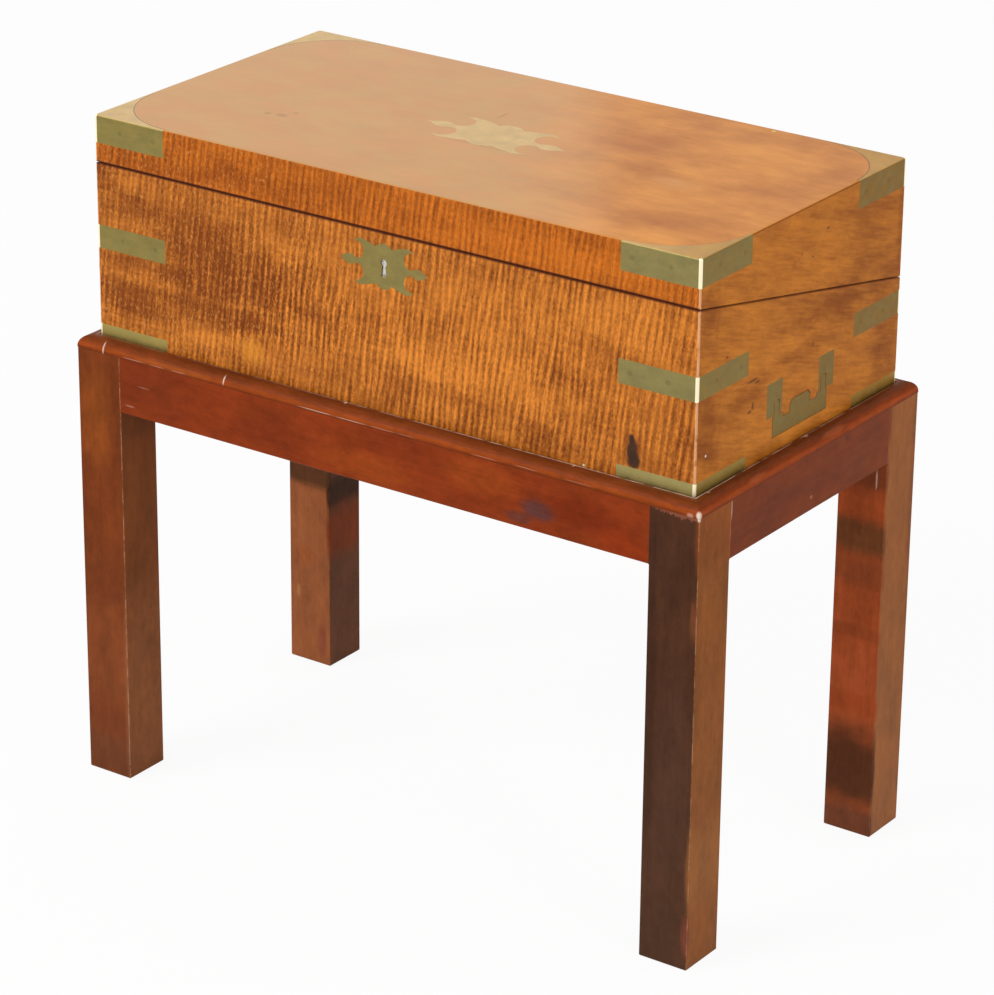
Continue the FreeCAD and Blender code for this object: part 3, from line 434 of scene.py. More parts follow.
topLook = {
    "dark": (0.50, 0.145, 0.010),
    "light": (0.90, 0.350, 0.050),
    "specular": 0.06,
    "roughness": 0.13,
    "bump": 0.02,
    "cloud": ((50.0, 30.0, 40.0), 4.0, 0.62, 2.6),
    "streak": (60.0, 2.6, 4.0, 0.65, 5.1),
    "pores": (6.0, 0.5, 2.0, 0.5, 9.2),
    "poreRange": (0.6, 0.74),
    "toneRange": (0.0, 1.0),
    "markRim": (0.7, 1.5),
    # Pale left of the top: partly bleached wood, partly a painted sheen reflection
    "bleachAndSheen": (0.640, 0.300, 0.090),
    "bleachAndSheenPale": (0.610, 0.330, 0.098),
    "bleachAndSheenPatch": ((34.0, 22.0, 40.0), 3.0, 0.55, 12.0),
    "patchRange": (0.35, 0.65),
    "sheenSlant": 0.6,
    "sheenRange": (0.0, 130.0),
    "bleachAndSheenStrength": 0.8,
    "hollowRadius": 60.0,
    "hollowCentre": (192.0, 68.0),
    "cornerRange": (-2.0, 0.5),
    "line": (0.16, 0.075, 0.03),
    "lineRange": (0.3, 1.2),
    "lineStrength": 0.8,
    "rightRange": (200.0, 260.0),
    "rightLoss": 0.6,
    "weight": {
        "tone": 0.52, "toneCloud": 1.1, "toneStreak": 0.28, "shadePores": 0.08,
        "glossHaze": 0.08, "glossPores": 0.1, "bumpPores": -0.3, "bumpStreak": 0.2,
    },
    "marks": [
        ((88, 62, 510), (34, 46, 6), -0.18), ((124, 0, 510), (20, 12, 6), -0.16),
        ((190, -78, 510), (64, 16, 6), -0.20), ((230, 20, 510), (24, 60, 6), -0.12),
        ((160, -118, 510), (70, 12, 6), 0.20), ((160, 70, 510), (44, 14, 6), 0.08),
        ((180, 20, 510), (34, 20, 6), 0.06), ((140, -40, 510), (40, 10, 6), 0.08),
    ],
    "dotPlaces": [
        ((-158, -55, 510), (2.4, 2.4, 4)), ((-147, -53, 510), (4.4, 3.2, 4)),
        ((-142, -43, 510), (1.8, 1.8, 4)), ((-22, 40, 510), (1.2, 7, 4)), ((3, -24.6, 510), (36, 0.8, 4)),
    ],
    "dot": ((0.26, 0.15, 0.03), 0.4, 0.5, 0.8),
    "scuff": ((156, -12, 510), (16, 8, 4), (0.82, 0.40, 0.12), 0.3, 0.7, 1.6),
    "speck": ((150, 125, 510), (1.6, 1.2, 4), (0.8, 0.65, 0.2), 1.0, 0.3, 0.0),
}


# Dark line round each brass corner: the distance from the centre of its hollow arc is near the radius,
# on the corner's side of that centre. It is fainter at the near right corner.
def hollowLine(finish, wood):
    look = topLook
    centreX, centreY = look["hollowCentre"]
    awayX = abs(finish.x) - centreX
    awayY = abs(finish.y) - centreY
    flat = finish.node("ShaderNodeCombineXYZ", {}, {0: awayX, 1: awayY})
    far = finish.node("ShaderNodeVectorMath", {"operation": "LENGTH"}, {0: flat}, "Value")
    inCorner = finish.step(awayX.least(awayY), *look["cornerRange"])
    line = (1.0 - finish.step(abs(far - look["hollowRadius"]), *look["lineRange"])) * inCorner
    nearRight = finish.step(finish.x - finish.y, *look["rightRange"])
    return finish.mix(line * (look["lineStrength"] - nearRight * look["rightLoss"]), wood, look["line"])


# Top board: the same plain wood along X, paler on the left, partly bleached and partly a painted sheen
# reflection, with the dark line round each brass corner
def topWood(name):
    look = topLook
    weight = look["weight"]
    finish = Finish(name, {"Specular IOR Level": look["specular"]})
    cloud = finish.noise(*look["cloud"]) - 0.5
    streak = finish.grained(0, *look["streak"])
    pores = finish.step(finish.grained(0, *look["pores"]), *look["poreRange"])
    tone = weight["tone"] + cloud * weight["toneCloud"] + (streak - 0.5) * weight["toneStreak"]
    tone = tone + finish.spots(look["marks"], *look["markRim"])
    wood = finish.mix(finish.step(tone, *look["toneRange"]), look["dark"], look["light"])
    # The left side: painted sheen reflection together with bleaching
    sheenSide = 1.0 - finish.step(finish.x + finish.y * look["sheenSlant"], *look["sheenRange"])
    patchy = finish.step(finish.noise(*look["bleachAndSheenPatch"]), *look["patchRange"])
    bleachAndSheen = finish.mix(patchy, look["bleachAndSheen"], look["bleachAndSheenPale"])
    wood = finish.mix(sheenSide * look["bleachAndSheenStrength"], wood, bleachAndSheen)
    wood = finish.shaded(wood, 1.0 - pores * weight["shadePores"])
    wood = hollowLine(finish, wood)
    for centre, halves in look["dotPlaces"]:
        wood = finish.dab(wood, centre, halves, *look["dot"])
    wood = finish.dab(wood, *look["scuff"])
    wood = finish.dab(wood, *look["speck"])
    return woodDone(finish, look, wood, cloud, streak, pores)


assign(rippledWood("rippledBaseWood", frontLook["base"], True), "base_front", "base_back")
assign(rippledWood("rippledLidWood", frontLook["lid"], False), "lid_front", "lid_back")
assign(endWood("endWood", True), "base_right_end", "lid_right_end")
assign(endWood("plainEndWood", False), "base_left_end", "lid_left_end")
assign(topWood("lidTopWood"), "lid_top")
print("case wood finished")


# Stand wood: dark red mahogany. Each member has its grain's axis, its tone on the front and the side faces,
# and its marks: place, half sizes, colour and strength. The face tones carry painted light and shade as well
# as the wood's own tone, and many of the wide bands across the legs are painted shadows and reflections.
# Marks with a half size under the sharp one are scratches and go on last.
pale = (0.80, 0.62, 0.50)
pink = (0.55, 0.27, 0.20)
darkBrown = (0.075, 0.028, 0.012)
standLook = {
    "specular": 0.035,
    "roughness": 0.32,
    "bump": 0.12,
    "hidden": (0.205, 0.046, 0.0095),
    "faceRange": (0.4, 0.9),
    "cloud": (46.0, 20.0, 4.0, 0.62, 3.0),
    "streak": (60.0, 3.0, 4.0, 0.65, 6.0),
    "mottle": (10.0, 6.0, 4.0, 0.75, 8.0),
    "pores": (8.0, 0.5, 2.0, 0.5, 1.0),
    "poreRange": (0.58, 0.72),
    "sharp": 3,
    "softRim": (0.5, 0.7),
    "sharpRim": (0.4, 0.9),
    "weight": {
        "shadeCloud": 0.9, "shadeStreak": 0.35, "shadeMottle": 0.6, "shadePores": 0.12,
        "glossHaze": 0.2, "glossPores": 0.1, "bumpPores": -0.4, "bumpStreak": 0.25,
    },
    "members": {
        # Its inner right face is darker under the rail and paler low down: painted shade and light
        "leg_front_left": (2, (0.172, 0.037, 0.008), (0.190, 0.054, 0.012), [
            ((-250, -142, 282), (14, 3, 34), (0.30, 0.075, 0.010), 0.45),
            ((-246, -142, 100), (60, 3, 36), (0.26, 0.064, 0.016), 0.45),
            ((-246, -142, 16), (60, 3, 16), (0.13, 0.038, 0.014), 0.5),
            ((-227, -122, 282), (3, 60, 12), (0.145, 0.039, 0.009), 0.5),
            ((-227, -122, 70), (3, 60, 76), (0.28, 0.096, 0.034), 0.5),
        ]),
        "leg_front_right": (2, (0.070, 0.0262, 0.0124), (0.252, 0.076, 0.0135), [
            ((250, -142, 150), (12, 3, 70), (0.080, 0.033, 0.019), 0.5),
            ((231, -142, 200), (4, 3, 120), (0.040, 0.015, 0.008), 0.5),
            ((266, -122, 75), (3, 60, 28), (0.300, 0.110, 0.028), 0.5),
            ((266, -122, 325), (3, 60, 26), (0.25, 0.060, 0.010), 0.5),
            ((265, -142, 26), (4, 3, 14), (0.20, 0.045, 0.022), 0.7),
            ((264, -142, 262), (3, 3, 14), (0.20, 0.060, 0.020), 0.6),
            ((265.8, -141.8, 335.6), (1.3, 1.3, 1.8), pale, 0.9),
        ]),
        # The dark bands across this leg are painted shadows cast by the stand above
        "leg_back_left": (2, (0.295, 0.090, 0.029), (0.135, 0.046, 0.020), [
            ((-246, 103, 205), (60, 3, 24), (0.19, 0.038, 0.009), 0.8),
            ((-246, 103, 160), (60, 3, 10), (0.080, 0.028, 0.010), 0.95),
            ((-227, 122, 146), (3, 60, 13), (0.045, 0.015, 0.004), 0.95),
            ((-227, 122, 112), (3, 60, 20), (0.19, 0.034, 0.006), 0.95),
            ((-252, 103, 90), (8, 3, 8), (0.30, 0.07, 0.016), 0.5),
            ((-235, 103, 20), (4, 3, 14), (0.20, 0.04, 0.024), 0.6),
            ((-258, 103, 58), (1.6, 3, 5), (0.42, 0.20, 0.07), 0.6),
        ]),
        # The bands across this leg are painted shadows and reflections of the stand
        "leg_back_right": (2, (0.390, 0.075, 0.019), (0.305, 0.100, 0.026), [
            ((246, 103, 326), (60, 3, 20), (0.215, 0.040, 0.009), 0.95),
            ((246, 103, 286), (60, 3, 16), (0.17, 0.042, 0.013), 0.8),
            ((246, 103, 234), (60, 3, 14), (0.165, 0.054, 0.017), 0.95),
            ((246, 103, 206), (60, 3, 10), (0.25, 0.060, 0.018), 0.7),
            ((246, 103, 160), (60, 3, 5), (0.28, 0.055, 0.014), 0.6),
            ((246, 103, 103), (60, 3, 9), (0.33, 0.055, 0.011), 0.8),
            ((246, 103, 52), (60, 3, 32), (0.067, 0.0175, 0.0045), 0.95),
            ((246, 103, 8), (60, 3, 12), (0.13, 0.038, 0.016), 0.9),
            ((258, 103, 280), (0.7, 3, 7), pale, 0.5),
            ((266, 140, 240), (3, 4, 90), (0.21, 0.062, 0.017), 0.6),
        ]),
        "rail_front": (0, (0.230, 0.034, 0.0065), (0.230, 0.034, 0.0065), [
            ((-10, -142, 306), (40, 3, 10), (0.32, 0.060, 0.008), 0.5),
            ((90, -142, 322), (30, 3, 12), (0.34, 0.062, 0.008), 0.5),
            ((-204, -142, 314), (34, 3, 22), (0.165, 0.027, 0.006), 0.7),
            ((-60, -142, 324), (60, 3, 8), (0.20, 0.032, 0.005), 0.5),
            ((-88, -142, 316), (26, 3, 16), (0.17, 0.027, 0.005), 0.5),
            ((-44, -142, 312), (14, 3, 10), (0.30, 0.050, 0.009), 0.4),
            ((138, -142, 310), (13, 3, 7), (0.085, 0.036, 0.034), 0.8),
            ((122, -142, 301), (10, 3, 4), (0.10, 0.035, 0.025), 0.7),
            ((175, -142, 316), (30, 3, 10), (0.16, 0.018, 0.003), 0.6),
            ((205, -142, 300), (18, 3, 12), (0.27, 0.030, 0.004), 0.5),
            ((-218, -142, 301), (4, 3, 0.6), pink, 0.4), ((-205, -142, 318), (5, 3, 0.5), pink, 0.25),
        ]),
        "rail_right": (1, (0.18, 0.032, 0.007), (0.185, 0.037, 0.0095), [
            ((266, -102.3, 330), (3, 0.5, 7), pale, 0.5),
            ((266, 108, 330), (3, 0.6, 6), pale, 0.4),
            ((266, 0, 304), (3, 1.5, 1.5), (0.5, 0.2, 0.08), 0.5),
            ((266, 45, 333), (3, 3, 2), darkBrown, 0.6),
            ((266, -40, 316), (3, 40, 7), (0.13, 0.026, 0.010), 0.5),
            ((266, 70, 312), (3, 26, 9), (0.20, 0.045, 0.014), 0.5),
        ]),
        "rail_back": (0, (0.235, 0.033, 0.004), (0.235, 0.033, 0.004), []),
        "rail_left": (1, (0.18, 0.032, 0.007), (0.17, 0.032, 0.008), []),
        "lip_front": (0, (0.255, 0.047, 0.0075), (0.255, 0.047, 0.0075), [
            ((-180, -142, 339), (30, 3, 3), (0.33, 0.080, 0.016), 0.5),
            ((-242, -141, 340), (0.7, 4, 5), pale, 0.65), ((-132, -141, 341), (0.6, 4, 3.4), pale, 0.75),
            ((-31, -132, 345), (1.0, 2, 1), pale, 0.8), ((160, -132, 345), (0.8, 2, 1), pale, 0.7),
            ((-214, -142, 337.4), (9, 2, 0.3), pink, 0.6), ((-192, -142, 337.4), (6, 2, 0.25), pink, 0.5),
            ((-172, -142, 337.6), (7, 2, 0.25), pink, 0.6), ((-50, -142, 337.4), (14, 2, 0.3), pale, 0.45),
            ((-20, -142, 337.3), (12, 2, 0.25), pale, 0.45), ((8, -142, 337.4), (12, 2, 0.25), pink, 0.5),
            ((28, -142, 337.6), (7, 2, 0.2), pink, 0.5), ((94, -142, 337.6), (10, 2, 0.25), pink, 0.5),
            ((128, -142, 338.2), (9, 2, 0.25), pink, 0.5), ((170, -142, 338), (12, 2, 0.2), pink, 0.4),
            ((265.2, -141.2, 338.2), (2.0, 2.0, 2.4), pale, 0.95),
            ((258.5, -142, 336.9), (2.4, 2, 1.6), pink, 0.7),
        ]),
        "lip_right": (1, (0.27, 0.046, 0.0065), (0.27, 0.046, 0.0065), [
            ((265.2, -141.2, 338.2), (2.0, 2.0, 2.4), pale, 0.95),
            ((257, -118, 345), (0.9, 1.4, 1.2), pale, 0.6),
            ((257, 5, 345), (0.9, 2.0, 1), pale, 0.6), ((264, 30, 342), (3, 14, 2), (0.42, 0.10, 0.03), 0.5),
            ((264, -70, 341), (3, 10, 1.6), (0.40, 0.10, 0.03), 0.5),
        ]),
        "lip_back": (0, (0.30, 0.052, 0.008), (0.30, 0.052, 0.008), []),
        "lip_left": (1, (0.25, 0.034, 0.004), (0.25, 0.034, 0.004), []),
    },
}


# Wear and painted light of the legs: pale right corners that are worn and carry a painted highlight, feet
# paler with painted light from the floor, and chips at the top of the front right one
legLook = {
    "middle": 122.5,
    "centre": 246.5,
    # Strength of the painted highlight and wear per leg, weaker on the back legs
    "arris": {"leg_front_left": 1.0, "leg_front_right": 0.7, "leg_back_left": 0.2, "leg_back_right": 0.2},
    "arrisRange": (18.7, 19.1),
    "wornHighlight": (0.60, 0.33, 0.20),
    "wear": ((9.0, 9.0, 9.0), 4.0, 0.75, 2.0),
    "wearRange": (0.4, 0.62),
    "wearLeast": 0.08,
    "wearMore": 0.5,
    "foot": (0.34, 0.24, 0.16),
    "footRange": (0.0, 270.0),
    "footStrength": 0.04,
    "chip": (0.32, 0.10, 0.055),
    "chipStrength": 0.6,
    "chipEdge": ((1.6, 8.0, 6.0), 3.0, 0.7, 3.0),
    "chipReach": 10.0,
    "chipSlant": 0.06,
    "chipRange": (348.6, 349.4),
    "chipSide": (228.0, 231.0),
    "chipFront": (141.0, 141.6),
}


# Pale line on a leg's right corners, worn and with a painted highlight: the distance from its centre line is
# near its half on both axes
def legArris(finish, wood, centreX, strength):
    look = legLook
    farX = finish.x - centreX
    farY = abs(abs(finish.y) - look["middle"])
    arris = finish.step(farX.least(farY), *look["arrisRange"])
    wear = finish.step(finish.noise(*look["wear"]), *look["wearRange"])
    broken = wear * look["wearMore"] + look["wearLeast"]
    return finish.mix(arris * broken * strength, wood, look["wornHighlight"])


# Light from the floor leaves the feet of the legs paler
def legFoot(finish, wood):
    look = legLook
    low = 1.0 - finish.step(finish.z, *look["footRange"])
    return finish.mix(low * look["footStrength"], wood, look["foot"])


# Chips of polish along the top of the front right leg: a ragged edge that noise moves up and down
def legChips(finish, wood):
    look = legLook
    ragged = (finish.noise(*look["chipEdge"]) - 0.5) * look["chipReach"]
    high = finish.step(finish.z + ragged + finish.x * look["chipSlant"], *look["chipRange"])
    side = finish.step(finish.x, *look["chipSide"])
    front = finish.step(finish.y * -1.0, *look["chipFront"])
    return finish.mix(high * side * front * look["chipStrength"], wood, look["chip"])


lipLook = {
    "shade": 0.82,
    "noseLow": (337.2, 338.6),
    "noseHigh": (339.8, 342.0),
    # Painted highlight on the round nose
    "noseHighlight": 0.34,
    "rubs": (16.0, 1.1, 4.0, 0.7, 13.0),
    "rubsGain": 0.8,
    "innerHalf": (255.0, 131.0),
    "innerStart": (0.2, 0.6),
    "innerEnd": (0.9, 1.6),
    "innerHeight": (343.8, 344.6),
    "broken": (14.0, 3.0, 3.0, 0.6, 4.0),
    "brokenRange": (0.36, 0.56),
    "runRange": (-160.0, 120.0),
    "runLeast": 0.2,
    "runMore": 0.8,
    # Painted highlight along the inner top edge
    "innerHighlightStrength": 0.8,
    # Painted shade in the seam under the moulding
    "seamShade": (0.07, 0.014, 0.005),
    "seamRange": (336.1, 337.0),
    "seamStrength": 0.6,
}


# The moulding has a painted highlight along its round nose and painted shade in the seam under it, and a
# painted highlight along its inner top edge, broken up and stronger near the front right corner
def lipEdges(finish, wood, grain):
    look = lipLook
    halfX, halfY = look["innerHalf"]
    inner = [abs(finish.y) - halfY, abs(finish.x) - halfX][grain]
    run = [finish.x, finish.y * -1.0][grain]
    nose = finish.step(finish.z, *look["noseLow"]) * (1.0 - finish.step(finish.z, *look["noseHigh"]))
    rubs = finish.grained(grain, *look["rubs"]) - 0.5
    wood = finish.shaded(wood, look["shade"] + nose * look["noseHighlight"] + rubs * look["rubsGain"])
    edge = finish.step(inner, *look["innerStart"]) * (1.0 - finish.step(inner, *look["innerEnd"]))
    edge = edge * finish.step(finish.z, *look["innerHeight"])
    broken = finish.step(finish.grained(grain, *look["broken"]), *look["brokenRange"])
    nearCorner = finish.step(run, *look["runRange"]) * look["runMore"] + look["runLeast"]
    wood = finish.mix(edge * broken * nearCorner * look["innerHighlightStrength"], wood, pale)
    seamShade = 1.0 - finish.step(finish.z, *look["seamRange"])
    return finish.mix(seamShade * look["seamStrength"], wood, look["seamShade"])


# The tones of the two faces, with their painted light and shade, and the soft marks, shaded by clouds,
# streaks, mottle and pores, then the wear and painted light of the legs and lips
def standWood(name, grain, front, side, marks):
    look = standLook
    weight = look["weight"]
    finish = Finish(name + "Wood", {"Specular IOR Level": look["specular"]})
    cloud = finish.grained(grain, *look["cloud"]) - 0.5
    streak = finish.grained(grain, *look["streak"])
    mottle = finish.grained(grain, *look["mottle"]) - 0.5
    pores = finish.step(finish.grained(grain, *look["pores"]), *look["poreRange"])
    # Front and side face tones: painted light and shade with the wood's own tone
    wood = finish.mix(finish.step(finish.faceY * -1.0, *look["faceRange"]), look["hidden"], front)
    wood = finish.mix(finish.step(finish.faceX, *look["faceRange"]), wood, side)
    soft = [mark for mark in marks if min(mark[1]) >= look["sharp"]]
    sharp = [mark for mark in marks if min(mark[1]) < look["sharp"]]
    for mark in soft:
        wood = finish.dab(wood, *mark, *look["softRim"])
    figure = cloud * weight["shadeCloud"] + (streak - 0.5) * weight["shadeStreak"]
    figure = figure + mottle * weight["shadeMottle"]
    wood = finish.shaded(wood, 1.0 + figure - pores * weight["shadePores"])
    if name.startswith("leg"):
        centreX = legLook["centre"] if "right" in name else -legLook["centre"]
        wood = legArris(finish, legFoot(finish, wood), centreX, legLook["arris"][name])
    if name == "leg_front_right":
        wood = legChips(finish, wood)
    if name.startswith("lip"):
        wood = lipEdges(finish, wood, grain)
    for mark in sharp:
        wood = finish.dab(wood, *mark, *look["sharpRim"])
    return woodDone(finish, look, wood, cloud, streak, pores)


for member, facts in standLook["members"].items():
    assign(standWood(member, *facts), member)
print("stand wood finished")


# Inner wood: plain satin mahogany behind and under the writing flaps
innerLook = {
    "dark": (0.16, 0.05, 0.018),
    "light": (0.36, 0.14, 0.05),
    "specular": 0.25,
    "roughness": 0.45,
    "bump": 0.1,
    "cloud": (80.0, 16.0, 3.0, 0.6, 1.0),
    "streak": (70.0, 1.8, 4.0, 0.65, 4.0),
    "pores": (6.0, 0.4, 2.0, 0.5, 8.0),
    "poreRange": (0.6, 0.72),
    "toneRange": (0.0, 1.0),
    "weight": {
        "toneCloud": 0.8, "toneStreak": 0.7, "shadePores": 0.25,
        "glossHaze": 0.15, "glossPores": 0.0, "bumpPores": -0.4, "bumpStreak": 0.4,
    },
}


# The streaks alone vary its roughness
def innerWood(name, grain):
    look = innerLook
    weight = look["weight"]
    finish = Finish(name, {"Specular IOR Level": look["specular"]})
    cloud = finish.grained(grain, *look["cloud"]) - 0.5
    streak = finish.grained(grain, *look["streak"])
    pores = finish.step(finish.grained(grain, *look["pores"]), *look["poreRange"])
    tone = 0.5 + cloud * weight["toneCloud"] + (streak - 0.5) * weight["toneStreak"]
    wood = finish.mix(finish.step(tone, *look["toneRange"]), look["dark"], look["light"])
    wood = finish.shaded(wood, 1.0 - pores * weight["shadePores"])
    return woodDone(finish, look, wood, streak - 0.5, streak, pores)


assign(innerWood("innerWoodAlong", 0), "base_bottom", "pen_partition", "tray_rests", "pen_tray", "base_flap",
       "lid_flap", "base_flap_ledges", "lid_flap_ledges")
assign(innerWood("innerWoodAcross", 1), "ink_partitions")


# Old brass: dull green gold on the upright faces. Its tone by face direction and place is painted light and
# shade: paler on the level tops, more so to the left where a sheen reflection is painted, paler low down
# near the stand with painted light reflected from the lip, and bright on worn corners with a painted
# highlight
brassLook = {
    # The upright, side and level tones are one brass lit and shaded differently, which is painted light; the
    # pale level tone is a painted sheen reflection. The green is its patina.
    "upright": (0.262, 0.213, 0.076),
    "uprightLeft": (0.268, 0.204, 0.058),
    "green": (0.200, 0.185, 0.070),
    "side": (0.232, 0.148, 0.028),
    "sideBack": (0.228, 0.117, 0.011),
    "level": (0.555, 0.306, 0.090),
    "levelSheen": (0.71, 0.490, 0.230),
    # Worn corners with a painted highlight on them
    "bright": (1.0, 0.92, 0.62),
    "tarnish": (0.13, 0.095, 0.045),
    "specular": 0.15,
    "roughness": 0.42,
    "metallic": 0.75,
    "bump": 0.06,
    "arris": 1.9,
    "cloud": ((14.0, 14.0, 8.0), 4.0, 0.62, 2.0),
    "speck": ((1.5, 1.5, 1.5), 2.0, 0.5, 5.0),
    "speckRange": (0.64, 0.76),
    "scratch": ((14.0, 14.0, 0.5), 2.0, 0.5, 7.0),
    "scratchRange": (0.62, 0.72),
    "patch": ((7.0, 7.0, 5.0), 3.0, 0.6, 17.0),
    "patchRange": (0.42, 0.66),
    "faceRange": (0.5, 0.9),
    "sideRange": (-80.0, 90.0),
    "frontRange": (-120.0, 180.0),
    "sheenSlant": 0.6,
    "sheenRange": (40.0, 200.0),
    # Low band: painted light reflected from the stand's lip
    "lowRange": (355.0, 356.0),
    "weight": {
        "green": 0.3, "tarnish": 0.4, "shadeCloud": 0.6, "shadeScratch": 0.08, "lowReflectedLight": 0.45,
        "glossCloud": 0.25, "glossScratch": 0.06, "glossLevel": 0.14, "metallicLevel": 0.6,
        "bumpCloud": 0.5, "bumpSpeck": 0.3,
    },
}


# The face's direction and the place pick the tone, which is painted light and shade; clouds and scratches
# shade it, the low band lightens it with painted reflected light, and specks tarnish it. Level faces are
# rougher and less metallic.
def oldBrass(name, strength, wornHighlight=False):
    look = brassLook
    weight = look["weight"]
    finish = Finish(name, {"Specular IOR Level": look["specular"]})
    cloud = finish.noise(*look["cloud"])
    speck = finish.step(finish.noise(*look["speck"]), *look["speckRange"])
    scratch = finish.step(finish.noise(*look["scratch"]), *look["scratchRange"])
    patchy = finish.step(finish.noise(*look["patch"]), *look["patchRange"])
    level = finish.step(finish.faceZ, *look["faceRange"])
    sideways = finish.step(abs(finish.faceX), *look["faceRange"])
    aside = finish.mix(finish.step(finish.y, *look["sideRange"]), look["side"], look["sideBack"])
    ahead = finish.mix(finish.step(finish.x, *look["frontRange"]), look["uprightLeft"], look["upright"])
    metal = finish.mix(sideways, ahead, aside)
    metal = finish.mix(patchy * weight["green"], metal, look["green"])
    sheenSide = 1.0 - finish.step(finish.x + finish.y * look["sheenSlant"], *look["sheenRange"])
    metal = finish.mix(level, metal, finish.mix(sheenSide, look["level"], look["levelSheen"]))
    # Painted reflected light from the lip on the brass low down
    low = 1.0 - finish.step(finish.z, *look["lowRange"])
    shade = 1.0 + (cloud - 0.5) * weight["shadeCloud"] + scratch * weight["shadeScratch"]
    metal = finish.shaded(metal, (shade + low * weight["lowReflectedLight"]) * strength)
    metal = finish.mix(speck * weight["tarnish"], metal, look["tarnish"])
    # Worn corners, brightened further by a painted highlight
    if wornHighlight:
        metal = finish.mix(arrisMask(finish, look["arris"]), metal, look["bright"])
    gloss = look["roughness"] + (cloud - 0.5) * weight["glossCloud"] - scratch * weight["glossScratch"]
    gloss = gloss + level * weight["glossLevel"]
    shine = look["metallic"] - level * weight["metallicLevel"]
    relief = finish.bump(cloud * weight["bumpCloud"] - speck * weight["bumpSpeck"], look["bump"])
    return finish.done(Base_Color=metal, Roughness=gloss, Metallic=shine, Normal=relief)


assign(oldBrass("cornerBrass", 1.0, True), "mid_straps_front", "mid_straps_back", "foot_straps_front",
       "foot_straps_back", "lid_caps_front", "lid_caps_back")
assign(oldBrass("screwBrass", 0.84), "base_screws", "lid_screws", "handle_screws", "handle_pins")
assign(oldBrass("handleBrass", 0.92), "handle_plates", "carrying_handle_right", "carrying_handle_left")
assign(oldBrass("plainBrass", 1.0), "keyhole_escutcheon", "lid_cartouche",
       "lock_case", "lock_bolt", "lock_link_plate", "base_hinge_leaves", "lid_hinge_leaves", "hinge_pins",
       "inkwell_caps", "base_flap_hinge_leaves", "base_flap_hinges", "lid_flap_hinge_leaves",
       "lid_flap_hinges", "flap_catch")
print("brass finished")


# Writing leather: dark green skiver with a fine pebbled grain
leatherLook = {
    "dark": (0.023, 0.054, 0.028),
    "light": (0.034, 0.078, 0.041),
    "specular": 0.35,
    "roughness": 0.55,
    "bump": 0.12,
    "pebblesPerMm": 1.1,
    "creaseRange": (0.02, 0.2),
    "creaseShade": 0.8,
    "pebbleGain": 0.25,
    "cloud": ((50.0, 50.0, 50.0), 4.0, 0.6, 3.0),
    "cloudRange": (0.3, 0.7),
    "glossCloud": 0.2,
}


# The distance from a cell's edge, stepped, makes the pebbles and the dark creases between them
def writingLeather(name):
    look = leatherLook
    finish = Finish(name, {"Specular IOR Level": look["specular"]})
    cells = {"Vector": finish.mm, "Scale": look["pebblesPerMm"]}
    cellEdge = finish.node("ShaderNodeTexVoronoi", {"feature": "DISTANCE_TO_EDGE"}, cells, "Distance")
    pebble = finish.step(cellEdge, *look["creaseRange"])
    cloud = finish.noise(*look["cloud"])
    hide = finish.mix(finish.step(cloud, *look["cloudRange"]), look["dark"], look["light"])
    hide = finish.shaded(hide, look["creaseShade"] + pebble * look["pebbleGain"])
    gloss = look["roughness"] - (cloud - 0.5) * look["glossCloud"]
    return finish.done(Base_Color=hide, Roughness=gloss, Normal=finish.bump(pebble, look["bump"]))


assign(writingLeather("writingLeather"), "base_flap_leather", "lid_flap_leather")


# Ink glass: clear, a little green, with faint ripples from the mould
glassLook = {
    "thick": (0.80, 0.90, 0.88),
    "thin": (0.90, 0.96, 0.94),
    "index": 1.5,
    "roughness": 0.02,
    "bump": 0.15,
    "ripple": ((9.0, 9.0, 9.0), 2.0, 0.5, 1.0),
    "rippleRange": (0.35, 0.65),
    "glossRipple": 0.06,
}


def inkGlass(name):
    look = glassLook
    finish = Finish(name, {"Transmission Weight": 1.0, "IOR": look["index"]})
    ripple = finish.noise(*look["ripple"])
    glass = finish.mix(finish.step(ripple, *look["rippleRange"]), look["thick"], look["thin"])
    gloss = look["roughness"] + ripple * look["glossRipple"]
    return finish.done(Base_Color=glass, Roughness=gloss, Normal=finish.bump(ripple, look["bump"]))


assign(inkGlass("inkGlass"), "inkwells")


# Keyhole curtain: the pale steel plate that closes the keyhole from behind the escutcheon
curtainLook = {
    "ring": (0.0, 453.0),
    "ringRadius": 2.5,
    "waist": 1.2,
    "foot": 2.0,
    "bottom": 442.9,
    "front": -129.0,
    "back": -128.2,
    "steps": 28,
    "pale": (0.62, 0.60, 0.57),
    "dull": (0.20, 0.19, 0.18),
    "metallic": 0.3,
    "specular": 0.5,
    "roughness": 0.3,
    "bump": 0.1,
    "cloud": ((2.2, 2.2, 1.6), 3.0, 0.6, 4.0),
    "cloudRange": (0.34, 0.46),
    "glossCloud": 0.2,
}


